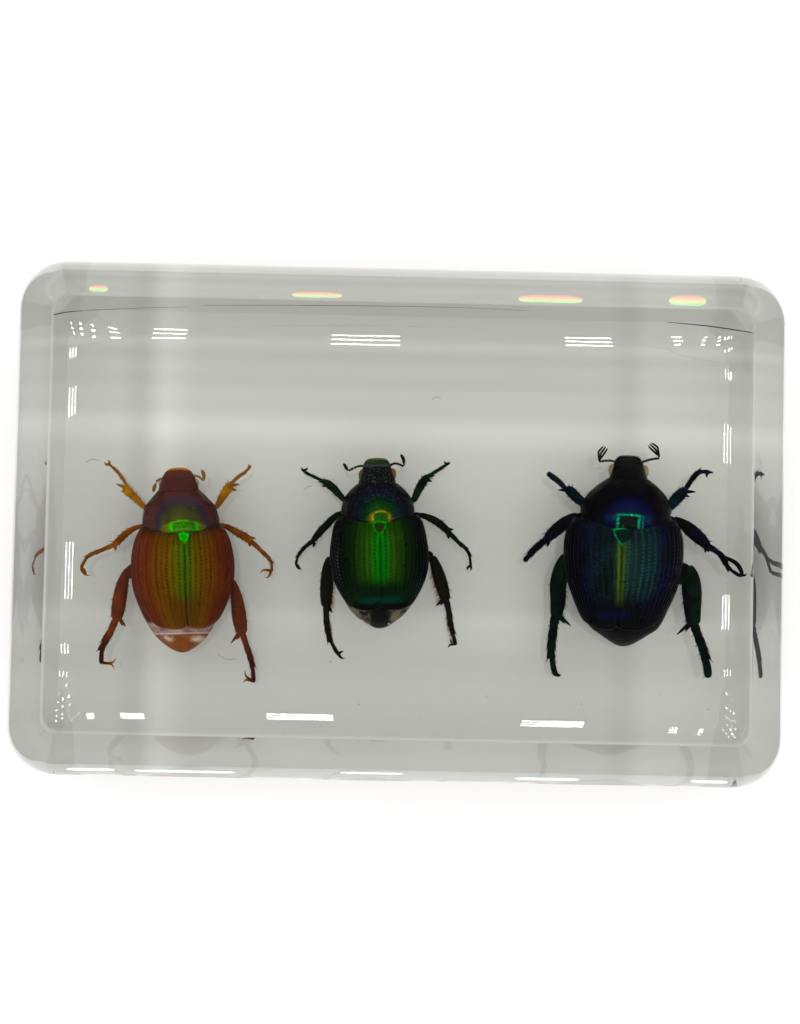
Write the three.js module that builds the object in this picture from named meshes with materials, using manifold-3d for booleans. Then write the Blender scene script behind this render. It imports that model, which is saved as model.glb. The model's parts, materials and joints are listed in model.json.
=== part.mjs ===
// Three chafer beetles sealed in a clear bevelled resin block.
// Millimetres. The block lies flat: X along its length, Y across, Z up.
import * as THREE from 'three';
import { mergeVertices } from 'three/addons/utils/BufferGeometryUtils.js';
import Module from 'manifold-3d';

const wasm = await Module();
wasm.setup();

// Block
const blockLength = 90;
const blockWidth = 60;
const widestHeight = 12.1;
const upperSideRadius = 12.6;
const lowerSideRadius = 46;
const rimHeight = 23.5;
const rimInset = 5.3;
const creaseHeight = 20.2;
const creaseInset = 2.95;
const shoulderHeight = 3.2;
const chamferHeight = 1.8;
const chamferInset = 1.8;
const baseInset = 4.34;
const outerCorner = 5.7;
const creaseCorner = 3.7;
const rimCorner = 1.7;
const cornerSteps = 5;
// The polished top swells a little: [distance in from the rim, rise, corner radius]
const topSwell = [
  [1.5, 0.2, 2.4],
  [3.5, 0.38, 3.6],
  [7.5, 0.5, 6],
];

// The block is parted at the height where the insects are widest
const partHeight = 10;
const partGap = 0.3;
const pocketGap = 0.35;
const bodyRoom = 0.6;
// How low the pockets reach under the bellies and hind thighs, the shins, the feet and the feelers
const bellyLow = 5.8;
const shinLow = 6.9;
const footLow = 6.6;
const feelerLow = 8.4;

// Insects: heights along a leg, and how flat the limbs are
const hipHeight = 6.9;
const kneeHeight = 8.7;
const ankleHeight = 7.9;
const toothHeight = 8.1;
const toeHeight = 7.2;
const feelerHeight = 9.1;
const feelerRise = 0.3;
const eyeHeight = 10.1;
const eyeStretch = [0.8, 1.15, 1];
const spikeFoot = 0.17;
const spikeTip = 0.04;
const limbFlatness = 0.72;
const limbSides = 5;
const sutureHalfWidth = 0.12;
const sutureDepth = 0.18;
const wingTuck = 0.92;

// Body rows are [y, half width, height of the widest line, top, underside, bow].
// Leg and feeler rows are [x, y, half width]; teeth and claws are [x, y, tip x, tip y].
const amber = {
  colour: 0x7a4219,
  place: [-25.3, -4.9, 2.7],
  head: [
    [10.65, 1.15, 9.3, 9.7, 9.0, 0.1],
    [10.35, 1.5, 9.4, 10.4, 8.7, 0.1],
    [9.4, 1.95, 9.6, 11.2, 8.3, 0],
    [8.5, 2.25, 9.8, 11.8, 8.0, 0],
    [7.4, 2.2, 9.9, 12.0, 7.8, 0],
  ],
  eyes: [[-2.05, 8.9], [2.1, 8.9]],
  eyeRadius: 0.55,
  pronotum: [
    [8.15, 2.35, 9.9, 12.2, 7.8, 0.1],
    [7.2, 3.25, 10, 13.1, 7.3, 0],
    [6.2, 4.05, 10, 13.9, 6.9, 0.1],
    [5.0, 4.35, 10, 14.5, 6.5, 0.5],
    [4.05, 4.4, 10, 14.7, 6.2, 1.05],
  ],
  elytra: [
    [4.1, 4.6, 10.3, 14.3, 9.7, 0.9],
    [3.1, 5.2, 10.2, 14.8, 9.6, 0.5],
    [1.7, 5.7, 10.1, 15.2, 9.5, 0],
    [-0.5, 6.0, 10, 15.4, 9.4, 0],
    [-2.6, 5.85, 9.9, 15.2, 9.3, 0],
    [-4.6, 5.25, 9.8, 14.6, 9.2, 0],
    [-6.4, 4.4, 9.6, 13.5, 9.0, 0],
    [-7.5, 3.65, 9.5, 12.5, 8.9, 0.1],
    [-8.0, 2.9, 9.4, 11.6, 9.0, 0.35],
  ],
  abdomen: [
    [4.8, 4.0, 9.9, 13.0, 6.4, 0],
    [0.4, 5.6, 9.8, 14, 5.8, 0],
    [-2.8, 5.6, 9.7, 14, 5.8, 0],
    [-5.6, 4.75, 9.5, 13, 6.1, 0],
    [-7.6, 3.75, 9.3, 11.9, 6.7, 0],
    [-8.9, 2.85, 9.1, 11.2, 7.2, 0],
    [-9.9, 1.75, 8.9, 10.3, 7.7, 0],
    [-10.65, 0.35, 8.7, 9.0, 8.4, 0],
  ],
  scutellum: [[-0.8, 3.2], [0.8, 3.2], [0.1, 1.5]],
  feelers: [
    {
      stalk: [[-1.6, 9.5, 0.14], [-2.3, 9.3, 0.1], [-2.7, 9.3, 0.1]],
      club: [[-2.6, 9.2, 0.14], [-2.85, 8.6, 0.24], [-3, 8, 0.1]],
    },
    {
      stalk: [[1.5, 9.8, 0.14], [2.2, 9.7, 0.1], [2.8, 9.2, 0.1]],
      club: [[2.95, 9.1, 0.14], [2.95, 9.8, 0.24], [2.7, 10.5, 0.1]],
    },
  ],
  legs: [
    {
      femur: [[-0.9, 5.2, 0.55], [-2.6, 5.7, 0.6], [-3.9, 6.2, 0.32]],
      tibia: [[-5.2, 7.5, 0.43], [-6.1, 8.4, 0.52], [-6.5, 8.8, 0.25]],
      tarsus: [[-6.7, 9.6, 0.19], [-7.6, 11.1, 0.17], [-8.2, 11.5, 0.1]],
      teeth: [[-6.3, 8.7, -7.4, 9.1], [-5.7, 7.9, -6.8, 8.2]],
      claws: [],
    },
    {
      femur: [[0.9, 5.2, 0.55], [2.8, 5.6, 0.6], [4.3, 6.1, 0.32]],
      tibia: [[5.0, 7.3, 0.48], [5.8, 8.5, 0.55], [6.1, 9.0, 0.35]],
      tarsus: [[6.4, 9.3, 0.2], [7.6, 10.1, 0.19], [8.1, 10.7, 0.12]],
      teeth: [[6.0, 8.7, 7.1, 8.7], [5.9, 8.3, 6.7, 8.0]],
      claws: [],
    },
    {
      femur: [[-1.2, 2.4, 0.6], [-3.2, 3.6, 0.6], [-4.9, 4.0, 0.32]],
      tibia: [[-6.1, 3.4, 0.37], [-7.2, 2.5, 0.4], [-7.9, 2.0, 0.3]],
      tarsus: [[-8.3, 1.8, 0.23], [-10.3, 1.0, 0.22], [-11.2, 0, 0.18], [-11.3, -0.8, 0.15]],
      teeth: [[-7.7, 2.1, -7.6, 1.4]],
      claws: [[-11.3, -0.6, -10.4, -1.5]],
    },
    {
      femur: [[1.2, 2.4, 0.6], [3.4, 3.5, 0.6], [5.3, 3.9, 0.32]],
      tibia: [[6.8, 3.0, 0.42], [7.8, 2.4, 0.43], [8.3, 1.9, 0.34]],
      tarsus: [[8.6, 1.5, 0.24], [10.2, 0, 0.22], [10.6, -0.9, 0.18], [10.3, -1.6, 0.16]],
      teeth: [[8.1, 2.1, 8.8, 2.3]],
      claws: [[10.4, -1.4, 9.1, -1.8]],
    },
    {
      femur: [[-1.3, -1.4, 0.8], [-3.6, -1.2, 0.95], [-6.0, -0.9, 0.5]],
      tibia: [[-6.9, -2.8, 0.72], [-7.3, -4.8, 0.82], [-7.7, -6.8, 0.6]],
      tarsus: [[-7.9, -7.1, 0.38], [-8.9, -8.9, 0.4], [-9.6, -10.7, 0.28], [-9.3, -11.7, 0.2]],
      teeth: [[-7.5, -6.4, -6.6, -7.5]],
      claws: [[-9.4, -11.4, -7.9, -11.1], [-9.4, -11.5, -8.1, -12.4]],
    },
    {
      femur: [[1.3, -1.8, 0.8], [3.6, -2.4, 0.95], [5.8, -2.6, 0.5]],
      tibia: [[6.4, -4.3, 0.65], [6.6, -6.4, 0.84], [6.9, -8.8, 0.6]],
      tarsus: [[7.0, -9.1, 0.34], [7.7, -11.2, 0.34], [8.1, -13.0, 0.28], [8.0, -14.3, 0.2]],
      teeth: [[6.8, -8.5, 5.6, -9.8]],
      claws: [[8.1, -14.1, 6.8, -14.3], [8.1, -13.9, 7.2, -12.8]],
    },
  ],
};

const green = {
  colour: 0x16330f,
  place: [-2.4, -2.4, 2.3],
  head: [
    [9.8, 1.05, 9.3, 9.7, 9.0, 0.1],
    [9.5, 1.4, 9.4, 10.3, 8.7, 0.1],
    [8.9, 1.65, 9.6, 11.0, 8.3, 0],
    [7.8, 1.95, 9.8, 11.6, 8.0, 0],
    [6.4, 2.1, 9.9, 12.0, 7.8, 0],
  ],
  eyes: [[-1.75, 7.8], [1.95, 7.9]],
  eyeRadius: 0.55,
  pronotum: [
    [6.9, 2.2, 9.9, 12.1, 7.8, 0],
    [6.1, 3.2, 10, 13.0, 7.4, 0],
    [5.2, 3.8, 10, 13.7, 7.0, 0.1],
    [4.2, 4.15, 10, 14.2, 6.6, 0.4],
    [3.2, 4.2, 10, 14.5, 6.3, 0.9],
  ],
  elytra: [
    [3.1, 4.7, 10.3, 14.1, 9.7, 0.7],
    [2.3, 5.15, 10.2, 14.6, 9.6, 0.4],
    [0.8, 5.5, 10.1, 15.0, 9.5, 0],
    [-1.6, 5.75, 10, 15.1, 9.4, 0],
    [-3.4, 5.6, 9.9, 14.9, 9.3, 0],
    [-5.2, 4.95, 9.8, 14.2, 9.2, 0],
    [-6.6, 4.1, 9.6, 13.2, 9.0, 0],
    [-7.4, 3.6, 9.5, 12.4, 8.9, 0.1],
    [-7.8, 3.0, 9.4, 11.7, 9.0, 0.2],
  ],
  abdomen: [
    [4.0, 3.9, 9.9, 12.9, 6.5, 0],
    [-0.4, 5.3, 9.8, 13.8, 5.9, 0],
    [-3.2, 5.3, 9.7, 13.8, 5.9, 0],
    [-5.8, 4.4, 9.5, 12.8, 6.2, 0],
    [-7.4, 3.6, 9.3, 11.8, 6.7, 0],
    [-8.4, 2.75, 9.1, 11.1, 7.2, 0],
    [-9.2, 1.7, 8.9, 10.3, 7.7, 0],
    [-9.9, 0.35, 8.7, 9.0, 8.4, 0],
  ],
  scutellum: [[-1.0, 2.5], [1.3, 2.5], [0.2, 0.5]],
  feelers: [
    {
      stalk: [[-1.2, 8.9, 0.14], [-2.0, 9.0, 0.1], [-3.3, 8.5, 0.1]],
      club: [[-3.3, 8.5, 0.12], [-3.6, 8.9, 0.24], [-3.9, 9.4, 0.1]],
    },
    {
      stalk: [[1.5, 9.0, 0.14], [2.2, 9.3, 0.1], [3.1, 8.9, 0.1]],
      club: [[3.2, 8.9, 0.12], [3.1, 9.6, 0.24], [2.8, 10.3, 0.1]],
    },
  ],
  legs: [
    {
      femur: [[-0.9, 4.2, 0.5], [-2.4, 4.6, 0.55], [-3.8, 5.1, 0.36]],
      tibia: [[-4.6, 5.9, 0.4], [-5.4, 6.8, 0.47], [-6.5, 7.4, 0.26]],
      tarsus: [[-6.8, 7.6, 0.18], [-8.4, 8.5, 0.15], [-8.4, 8.9, 0.08]],
      teeth: [[-5.6, 7.0, -6.5, 6.7], [-6.2, 7.5, -6.9, 7.3]],
      claws: [],
    },
    {
      femur: [[0.9, 4.0, 0.5], [2.6, 4.3, 0.55], [4.2, 4.8, 0.36]],
      tibia: [[4.8, 6.1, 0.46], [5.5, 7.3, 0.47], [6.1, 7.9, 0.3]],
      tarsus: [[6.4, 8.1, 0.19], [7.8, 8.8, 0.17], [8.4, 9.3, 0.1]],
      teeth: [[5.9, 7.7, 6.8, 7.8], [5.6, 7.3, 6.4, 7.1]],
      claws: [],
    },
    {
      femur: [[-1.2, 1.8, 0.6], [-3.0, 3.0, 0.6], [-4.6, 3.6, 0.32]],
      tibia: [[-5.4, 2.8, 0.42], [-6.6, 1.6, 0.42], [-7.7, 0.3, 0.3]],
      tarsus: [[-7.9, 0.1, 0.23], [-9.0, -0.8, 0.19], [-9.6, -1.6, 0.16], [-9.6, -2.4, 0.13]],
      teeth: [[-7.5, 0.5, -7.7, -0.3]],
      claws: [[-9.6, -2.2, -9.0, -2.8]],
    },
    {
      femur: [[1.2, 1.8, 0.6], [3.2, 2.8, 0.6], [5.0, 3.2, 0.34]],
      tibia: [[6.2, 2.7, 0.38], [7.5, 1.9, 0.44], [8.4, 0.9, 0.32]],
      tarsus: [[8.7, 0.6, 0.24], [10.2, -0.8, 0.2], [10.8, -2.1, 0.17], [10.6, -3.0, 0.13]],
      teeth: [[8.1, 1.2, 8.8, 1.4]],
      claws: [[10.7, -2.8, 10.4, -3.3]],
    },
    {
      femur: [[-1.3, -1.9, 0.75], [-3.4, -1.8, 0.9], [-5.6, -1.7, 0.5]],
      tibia: [[-6.0, -3.5, 0.72], [-6.1, -5.1, 0.78], [-6.2, -7.3, 0.58]],
      tarsus: [[-6.2, -7.6, 0.34], [-6.1, -9.8, 0.35], [-5.5, -12.1, 0.24], [-4.6, -13.0, 0.16]],
      teeth: [[-6.1, -7.0, -5.5, -8.0]],
      claws: [[-4.9, -12.8, -4.1, -13.2]],
    },
    {
      femur: [[1.3, -1.9, 0.75], [3.6, -1.8, 0.9], [6.2, -1.8, 0.5]],
      tibia: [[6.9, -3.5, 0.72], [7.3, -4.8, 0.78], [7.7, -6.9, 0.55]],
      tarsus: [[7.9, -7.2, 0.32], [8.2, -9.4, 0.33], [8.7, -11.1, 0.25], [8.7, -12.0, 0.16]],
      teeth: [[7.6, -6.6, 6.6, -7.4]],
      claws: [[8.8, -11.8, 7.9, -12.3]],
    },
  ],
};

const blue = {
  colour: 0x11162b,
  place: [26.4, -2.7, -0.8],
  head: [
    [11.0, 1.15, 9.3, 9.7, 9.0, 0.1],
    [10.65, 1.5, 9.4, 10.4, 8.7, 0.1],
    [9.9, 1.8, 9.6, 11.3, 8.3, 0],
    [9.1, 2.0, 9.8, 12.0, 8.0, 0],
    [7.8, 2.2, 9.9, 12.4, 7.7, 0],
  ],
  eyes: [[-1.95, 9.3], [1.95, 9.3]],
  eyeRadius: 0.6,
  pronotum: [
    [8.3, 2.3, 9.9, 12.6, 7.6, 0],
    [7.5, 3.4, 10, 13.6, 7.1, 0],
    [6.4, 4.5, 10, 14.5, 6.6, 0.1],
    [5.0, 5.2, 10, 15.1, 6.2, 0.6],
    [3.9, 5.1, 10, 15.3, 6.0, 1.4],
  ],
  elytra: [
    [3.7, 6.0, 10.3, 14.9, 9.7, 1.1],
    [2.5, 6.6, 10.2, 15.4, 9.6, 0.6],
    [0.8, 6.95, 10.1, 15.9, 9.5, 0],
    [-1.6, 6.9, 10, 16.0, 9.4, 0],
    [-3.6, 6.5, 9.9, 15.7, 9.3, 0],
    [-5.6, 5.75, 9.8, 15.0, 9.2, 0],
    [-7.4, 4.95, 9.6, 13.8, 9.0, 0],
    [-8.6, 4.2, 9.5, 12.7, 8.9, 0.1],
    [-9.2, 3.2, 9.4, 11.8, 9.0, 0.3],
  ],
  abdomen: [
    [4.6, 4.9, 9.9, 13.6, 6.3, 0],
    [-0.4, 6.6, 9.8, 14.6, 5.6, 0],
    [-3.8, 6.2, 9.7, 14.4, 5.6, 0],
    [-6.8, 5.05, 9.5, 13.2, 6.0, 0],
    [-8.8, 4.05, 9.3, 12.0, 6.6, 0],
    [-9.8, 2.75, 9.1, 11.2, 7.2, 0],
    [-10.6, 1.5, 8.9, 10.2, 7.7, 0],
    [-11.1, 0.35, 8.7, 9.0, 8.4, 0],
  ],
  scutellum: [[-1.7, 2.6], [1.0, 2.6], [-0.4, 0.4]],
  feelers: [
    {
      stalk: [[-1.3, 10.3, 0.14], [-2.2, 10.3, 0.12], [-3.4, 10.3, 0.12]],
      club: [[-3.4, 10.2, 0.16], [-3.1, 11.2, 0.32], [-2.6, 12.1, 0.12]],
    },
    {
      stalk: [[1.4, 10.3, 0.14], [2.4, 10.7, 0.12], [3.6, 11.0, 0.12]],
      club: [[3.6, 11.0, 0.16], [3.0, 11.9, 0.32], [2.3, 12.6, 0.12]],
    },
  ],
  legs: [
    {
      femur: [[-1.0, 4.8, 0.6], [-2.9, 5.0, 0.65], [-4.7, 5.1, 0.5]],
      tibia: [[-5.9, 6.1, 0.56], [-6.7, 6.8, 0.6], [-7.2, 7.1, 0.35]],
      tarsus: [[-7.5, 7.4, 0.25], [-8.5, 8.3, 0.24], [-9.3, 8.8, 0.22]],
      teeth: [[-6.9, 6.9, -8.1, 6.8], [-7.0, 7.1, -7.7, 7.3]],
      claws: [],
    },
    {
      femur: [[1.0, 4.8, 0.6], [3.0, 4.9, 0.65], [4.8, 5.0, 0.5]],
      tibia: [[5.7, 6.2, 0.62], [6.6, 7.1, 0.6], [7.0, 7.5, 0.35]],
      tarsus: [[7.2, 7.8, 0.22], [8.1, 9.4, 0.23], [8.8, 9.7, 0.22], [9.5, 9.5, 0.16]],
      teeth: [[6.8, 7.2, 8.0, 7.2], [6.6, 6.9, 7.4, 6.6]],
      claws: [[9.3, 9.6, 9.3, 9.0]],
    },
    {
      femur: [[-1.4, 2.2, 0.7], [-3.8, 3.4, 0.7], [-5.8, 3.8, 0.42]],
      tibia: [[-7.3, 2.9, 0.72], [-8.5, 1.8, 0.68], [-9.2, 1.1, 0.5]],
      tarsus: [[-9.5, 0.8, 0.38], [-10.6, -0.3, 0.37], [-11.7, -1.6, 0.24]],
      teeth: [[-8.9, 1.2, -9.1, 0.2]],
      claws: [],
    },
    {
      femur: [[1.4, 2.2, 0.7], [3.6, 3.3, 0.7], [5.6, 3.8, 0.42]],
      tibia: [[7.2, 3.0, 0.74], [8.4, 1.9, 0.76], [9.5, 0.9, 0.45]],
      tarsus: [[9.9, 0.6, 0.31], [11.5, -0.5, 0.28], [12.6, -1.8, 0.32], [13.4, -2.3, 0.18]],
      teeth: [[9.2, 1.1, 9.2, 0.1]],
      claws: [[13.0, -2.1, 14.2, -2.4], [12.9, -2.0, 13.2, -1.4]],
    },
    {
      femur: [[-1.5, -1.6, 0.9], [-4.2, -1.5, 1.1], [-6.9, -1.6, 0.9]],
      tibia: [[-7.7, -3.6, 0.98], [-7.6, -5.6, 0.92], [-7.9, -8.0, 0.66]],
      tarsus: [[-8.0, -8.4, 0.48], [-8.2, -11.2, 0.48], [-8.1, -13.4, 0.4], [-7.5, -14.9, 0.2]],
      teeth: [[-7.6, -7.7, -6.0, -9.0]],
      claws: [[-7.7, -14.6, -7.0, -14.6]],
    },
    {
      femur: [[1.5, -1.8, 0.9], [4.2, -1.9, 1.1], [6.9, -1.9, 0.9]],
      tibia: [[7.8, -4.0, 1.1], [8.0, -6.2, 0.96], [8.2, -8.4, 0.7]],
      tarsus: [[8.3, -8.8, 0.44], [9.2, -11.0, 0.45], [9.8, -12.8, 0.42], [10.0, -14.4, 0.4]],
      teeth: [[7.9, -8.1, 6.3, -9.5]],
      claws: [],
    },
  ],
};

// Angles round a body ring; the extra pair beside 90 degrees makes the wing seam
const bodyAngles = [0, 27, 55, 90, 125, 153, 180, 208, 236, 270, 304, 332];
const wingAngles = [0, 16, 36, 60, 88, 90, 92, 120, 144, 164, 180];

function solid(vertices, triangles) {
  const geometry = new THREE.BufferGeometry();
  geometry.setAttribute('position', new THREE.Float32BufferAttribute(vertices.flat(), 3));
  geometry.setIndex(triangles.flat());
  return fromGeometry(geometry);
}

function fromGeometry(source) {
  const geometry = source.clone();
  geometry.deleteAttribute('normal');
  geometry.deleteAttribute('uv');
  const merged = mergeVertices(geometry, 1e-4);
  const position = merged.attributes.position;
  const index = Uint32Array.from(merged.index.array);
  const a = new THREE.Vector3();
  const b = new THREE.Vector3();
  const c = new THREE.Vector3();
  let volume = 0;
  for (let i = 0; i < index.length; i += 3) {
    a.fromBufferAttribute(position, index[i]);
    b.fromBufferAttribute(position, index[i + 1]);
    c.fromBufferAttribute(position, index[i + 2]);
    volume += a.dot(b.cross(c));
  }
  if (volume < 0) {
    index.reverse();
  }
  return new wasm.Manifold(
    new wasm.Mesh({ numProp: 3, vertProperties: Float32Array.from(position.array), triVerts: index }),
  );
}

// A closed skin through rings that all have the same number of points
function loft(rings, centredEnds = false) {
  const count = rings[0].length;
  const vertices = rings.flat();
  const triangles = [];
  for (let r = 0; r + 1 < rings.length; r += 1) {
    for (let i = 0; i < count; i += 1) {
      const j = (i + 1) % count;
      const near = r * count;
      const far = near + count;
      triangles.push([near + i, near + j, far + j]);
      triangles.push([near + i, far + j, far + i]);
    }
  }
  const last = (rings.length - 1) * count;
  if (centredEnds) {
    const middle = (ring) => [0, 1, 2].map((k) => ring.reduce((sum, p) => sum + p[k], 0) / count);
    const first = vertices.length;
    vertices.push(middle(rings[0]), middle(rings[rings.length - 1]));
    for (let i = 0; i < count; i += 1) {
      const j = (i + 1) % count;
      triangles.push([first, j, i], [first + 1, last + i, last + j]);
    }
  } else {
    for (let i = 1; i + 1 < count; i += 1) {
      triangles.push([0, i + 1, i], [last, last + i, last + i + 1]);
    }
  }
  return solid(vertices, triangles);
}

function unite(solids) {
  return solids.reduce((sum, next) => sum.add(next));
}

// Block rings
function plateRing(inset, radius, z) {
  const x = blockLength / 2 - inset - radius;
  const y = blockWidth / 2 - inset - radius;
  const corners = [[x, y], [-x, y], [-x, -y], [x, -y]];
  return corners.flatMap(([cx, cy], quarter) => {
    const points = [];
    for (let step = 0; step <= cornerSteps; step += 1) {
      const angle = (quarter + step / cornerSteps) * (Math.PI / 2);
      points.push([cx + radius * Math.cos(angle), cy + radius * Math.sin(angle), z]);
    }
    return points;
  });
}

// The corners get tighter from the widest outline in to the crease, and again in to the rim
function cornerAt(inset) {
  if (inset < creaseInset) {
    return THREE.MathUtils.lerp(outerCorner, creaseCorner, inset / creaseInset);
  }
  return THREE.MathUtils.mapLinear(inset, creaseInset, rimInset, creaseCorner, rimCorner);
}

function sideRing(z) {
  const radius = z > widestHeight ? upperSideRadius : lowerSideRadius;
  const inset = radius - Math.sqrt(radius ** 2 - (z - widestHeight) ** 2);
  return plateRing(inset, cornerAt(inset), z);
}

function lowerHalf() {
  const heights = [shoulderHeight, 6.5, partHeight - partGap / 2];
  return loft([
    plateRing(baseInset, cornerAt(baseInset), 0),
    plateRing(chamferInset, cornerAt(chamferInset), chamferHeight),
    ...heights.map(sideRing),
  ]);
}

function upperHalf() {
  const heights = [partHeight + partGap / 2, widestHeight, 14.4, 16.6, 18.5, creaseHeight];
  return loft([
    ...heights.map(sideRing),
    plateRing(rimInset, rimCorner, rimHeight),
    ...topSwell.map(([inward, rise, radius]) => plateRing(rimInset + inward, radius, rimHeight + rise)),
  ]);
}

// Insect rings
function bodyRing([y, halfWidth, wide, top, under, bow], grow = 0) {
  const w = halfWidth + grow;
  return bodyAngles.map((degrees) => {
    const angle = THREE.MathUtils.degToRad(degrees);
    const x = w * Math.cos(angle);
    const rise = Math.sin(angle) > 0 ? top + grow - wide : wide - under + grow;
    return [x, y - bow * (1 - (x / w) ** 2), wide + rise * Math.sin(angle)];
  });
}

function wingRing([y, halfWidth, wide, top, under, bow]) {
  const arch = wingAngles.map((degrees) => {
    const angle = THREE.MathUtils.degToRad(degrees);
    const beside = degrees === 88 || degrees === 92;
    const x = beside ? Math.sign(90 - degrees) * sutureHalfWidth : halfWidth * Math.cos(angle);
    const seam = degrees === 90 ? sutureDepth : 0;
    const height = wide + (top - wide) * Math.sin(angle) - seam;
    return [x, y - bow * (1 - (x / halfWidth) ** 2), height];
  });
  const tuck = wingTuck * halfWidth;
  return [...arch, [-tuck, y, under], [tuck, y, under]];
}

// A limb of oval section along rows of [x, y, half width, height]
function limb(rows, sides = limbSides) {
  const rings = rows.map(([x, y, r, z], i) => {
    const [px, py] = rows[Math.max(i - 1, 0)];
    const [nx, ny] = rows[Math.min(i + 1, rows.length - 1)];
    const along = Math.hypot(nx - px, ny - py);
    const sideX = (ny - py) / along;
    const sideY = (px - nx) / along;
    const ring = [];
    for (let s = 0; s < sides; s += 1) {
      const angle = (s / sides) * Math.PI * 2;
      const across = r * Math.cos(angle);
      ring.push([x + sideX * across, y + sideY * across, z + limbFlatness * r * Math.sin(angle)]);
    }
    return ring;
  });
  return loft(rings);
}

function between(rows, startHeight, endHeight) {
  return rows.map((row, i) => [...row, THREE.MathUtils.lerp(startHeight, endHeight, i / (rows.length - 1))]);
}

function leg({ femur, tibia, tarsus, teeth, claws }) {
  const whole = limb([
    ...between(femur, hipHeight, kneeHeight),
    ...between(tibia, kneeHeight, ankleHeight),
    ...between(tarsus, ankleHeight, toeHeight),
  ]);
  const spike = (z) => ([x, y, tipX, tipY]) => limb([[x, y, spikeFoot, z], [tipX, tipY, spikeTip, z]], 3);
  return unite([whole, ...teeth.map(spike(toothHeight)), ...claws.map(spike(toeHeight))]);
}

function feeler({ stalk, club }) {
  const rod = limb(between(stalk, feelerHeight + feelerRise, feelerHeight), 4);
  return rod.add(limb(between(club, feelerHeight, feelerHeight), 4));
}

function eye([x, y], radius) {
  const ball = new THREE.SphereGeometry(radius, 7, 4);
  ball.scale(...eyeStretch);
  ball.translate(x, y, eyeHeight);
  return fromGeometry(ball);
}

function scutellumPlate(corners, top) {
  const plate = new THREE.ExtrudeGeometry(
    new THREE.Shape(corners.map(([x, y]) => new THREE.Vector2(x, y))),
    { depth: 1, bevelEnabled: false },
  );
  plate.translate(0, 0, top - 1);
  return fromGeometry(plate);
}

function setInPlace(shape, [x, y, turn]) {
  return shape.rotate([0, 0, turn]).translate([x, y, 0]);
}

function insect(kind) {
  const parts = [
    loft(kind.head.map((row) => bodyRing(row))),
    loft(kind.pronotum.map((row) => bodyRing(row))),
    loft(kind.elytra.map(wingRing), true),
    loft(kind.abdomen.map((row) => bodyRing(row))),
    scutellumPlate(kind.scutellum, kind.elytra[1][3] + 0.15),
    ...kind.eyes.map((centre) => eye(centre, kind.eyeRadius)),
    ...kind.feelers.map(feeler),
    ...kind.legs.map(leg),
  ];
  return setInPlace(unite(parts), kind.place);
}

// Pockets: the body's shape grown by a small gap, and a trench over each limb
function trench(rows, low) {
  const start = new THREE.Vector2(rows[0][0], rows[0][1]);
  const farthest = rows.reduce((best, row) => {
    const gone = Math.hypot(row[0] - start.x, row[1] - start.y);
    return gone > best.gone ? { gone, row } : best;
  }, { gone: 0 }).row;
  const along = new THREE.Vector2(farthest[0], farthest[1]).sub(start).normalize();
  const across = new THREE.Vector2(-along.y, along.x);
  const reach = new THREE.Box2();
  for (const [x, y, r] of rows) {
    const off = new THREE.Vector2(x, y).sub(start);
    const spot = new THREE.Vector2(off.dot(along), off.dot(across));
    const room = new THREE.Vector2(r + pocketGap, r + pocketGap);
    reach.expandByPoint(spot.clone().add(room));
    reach.expandByPoint(spot.clone().sub(room));
  }
  const size = reach.getSize(new THREE.Vector2());
  const middle = reach.getCenter(new THREE.Vector2());
  const cut = new THREE.BoxGeometry(size.x, size.y, partHeight - low);
  cut.translate(middle.x, middle.y, (partHeight + low) / 2);
  cut.rotateZ(along.angle());
  cut.translate(start.x, start.y, 0);
  return fromGeometry(cut);
}

function pocket(kind) {
  const { head, pronotum, elytra, abdomen } = kind;
  const front = head[0];
  const back = abdomen[abdomen.length - 1];
  const belly = ([y, w, wide, top]) => [y, w, wide, top, bellyLow, 0];
  const rows = [
    [front[0] + pocketGap, front[1] + 0.1, ...front.slice(2)],
    [head[2][0], head[2][1] + 0.6, ...head[2].slice(2)],
    pronotum[1],
    pronotum[3],
    ...[1, 3, 5, 7].map((i) => belly(elytra[i])),
    belly([elytra[8][0] - 0.6, ...elytra[8].slice(1)]),
    abdomen[6],
    [back[0] - pocketGap, ...back.slice(1)],
  ];
  const limbs = kind.legs.flatMap(({ femur, tibia, tarsus, teeth, claws }) => {
    const knee = femur[femur.length - 1];
    const tip = ([, , x, y]) => [x, y, 0.05];
    return [
      trench([knee, ...tibia, ...teeth.map(tip)], shinLow),
      trench([...tarsus, ...claws.map(tip)], footLow),
    ];
  });
  const thighs = kind.legs.slice(4).map(({ femur }) => trench(femur, bellyLow));
  const feelers = kind.feelers.map(({ stalk, club }) => trench([...stalk, ...club], feelerLow));
  return setInPlace(
    unite([loft(rows.map((row) => bodyRing(row, bodyRoom))), ...limbs, ...thighs, ...feelers]),
    kind.place,
  );
}

function mesh(name, shape, material) {
  const { vertProperties, triVerts } = shape.getMesh();
  const geometry = new THREE.BufferGeometry();
  geometry.setAttribute('position', new THREE.BufferAttribute(Float32Array.from(vertProperties), 3));
  geometry.setIndex(new THREE.BufferAttribute(Uint32Array.from(triVerts), 1));
  geometry.computeVertexNormals();
  const node = new THREE.Mesh(geometry, material);
  node.name = name;
  return node;
}

function resinLook() {
  return new THREE.MeshStandardMaterial({
    color: 0xeef2ee,
    roughness: 0.05,
    transparent: true,
    opacity: 0.3,
  });
}

function shellLook(colour) {
  return new THREE.MeshStandardMaterial({ color: colour, roughness: 0.3, metalness: 0.2 });
}

const pockets = unite([amber, green, blue].map(pocket));

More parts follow.
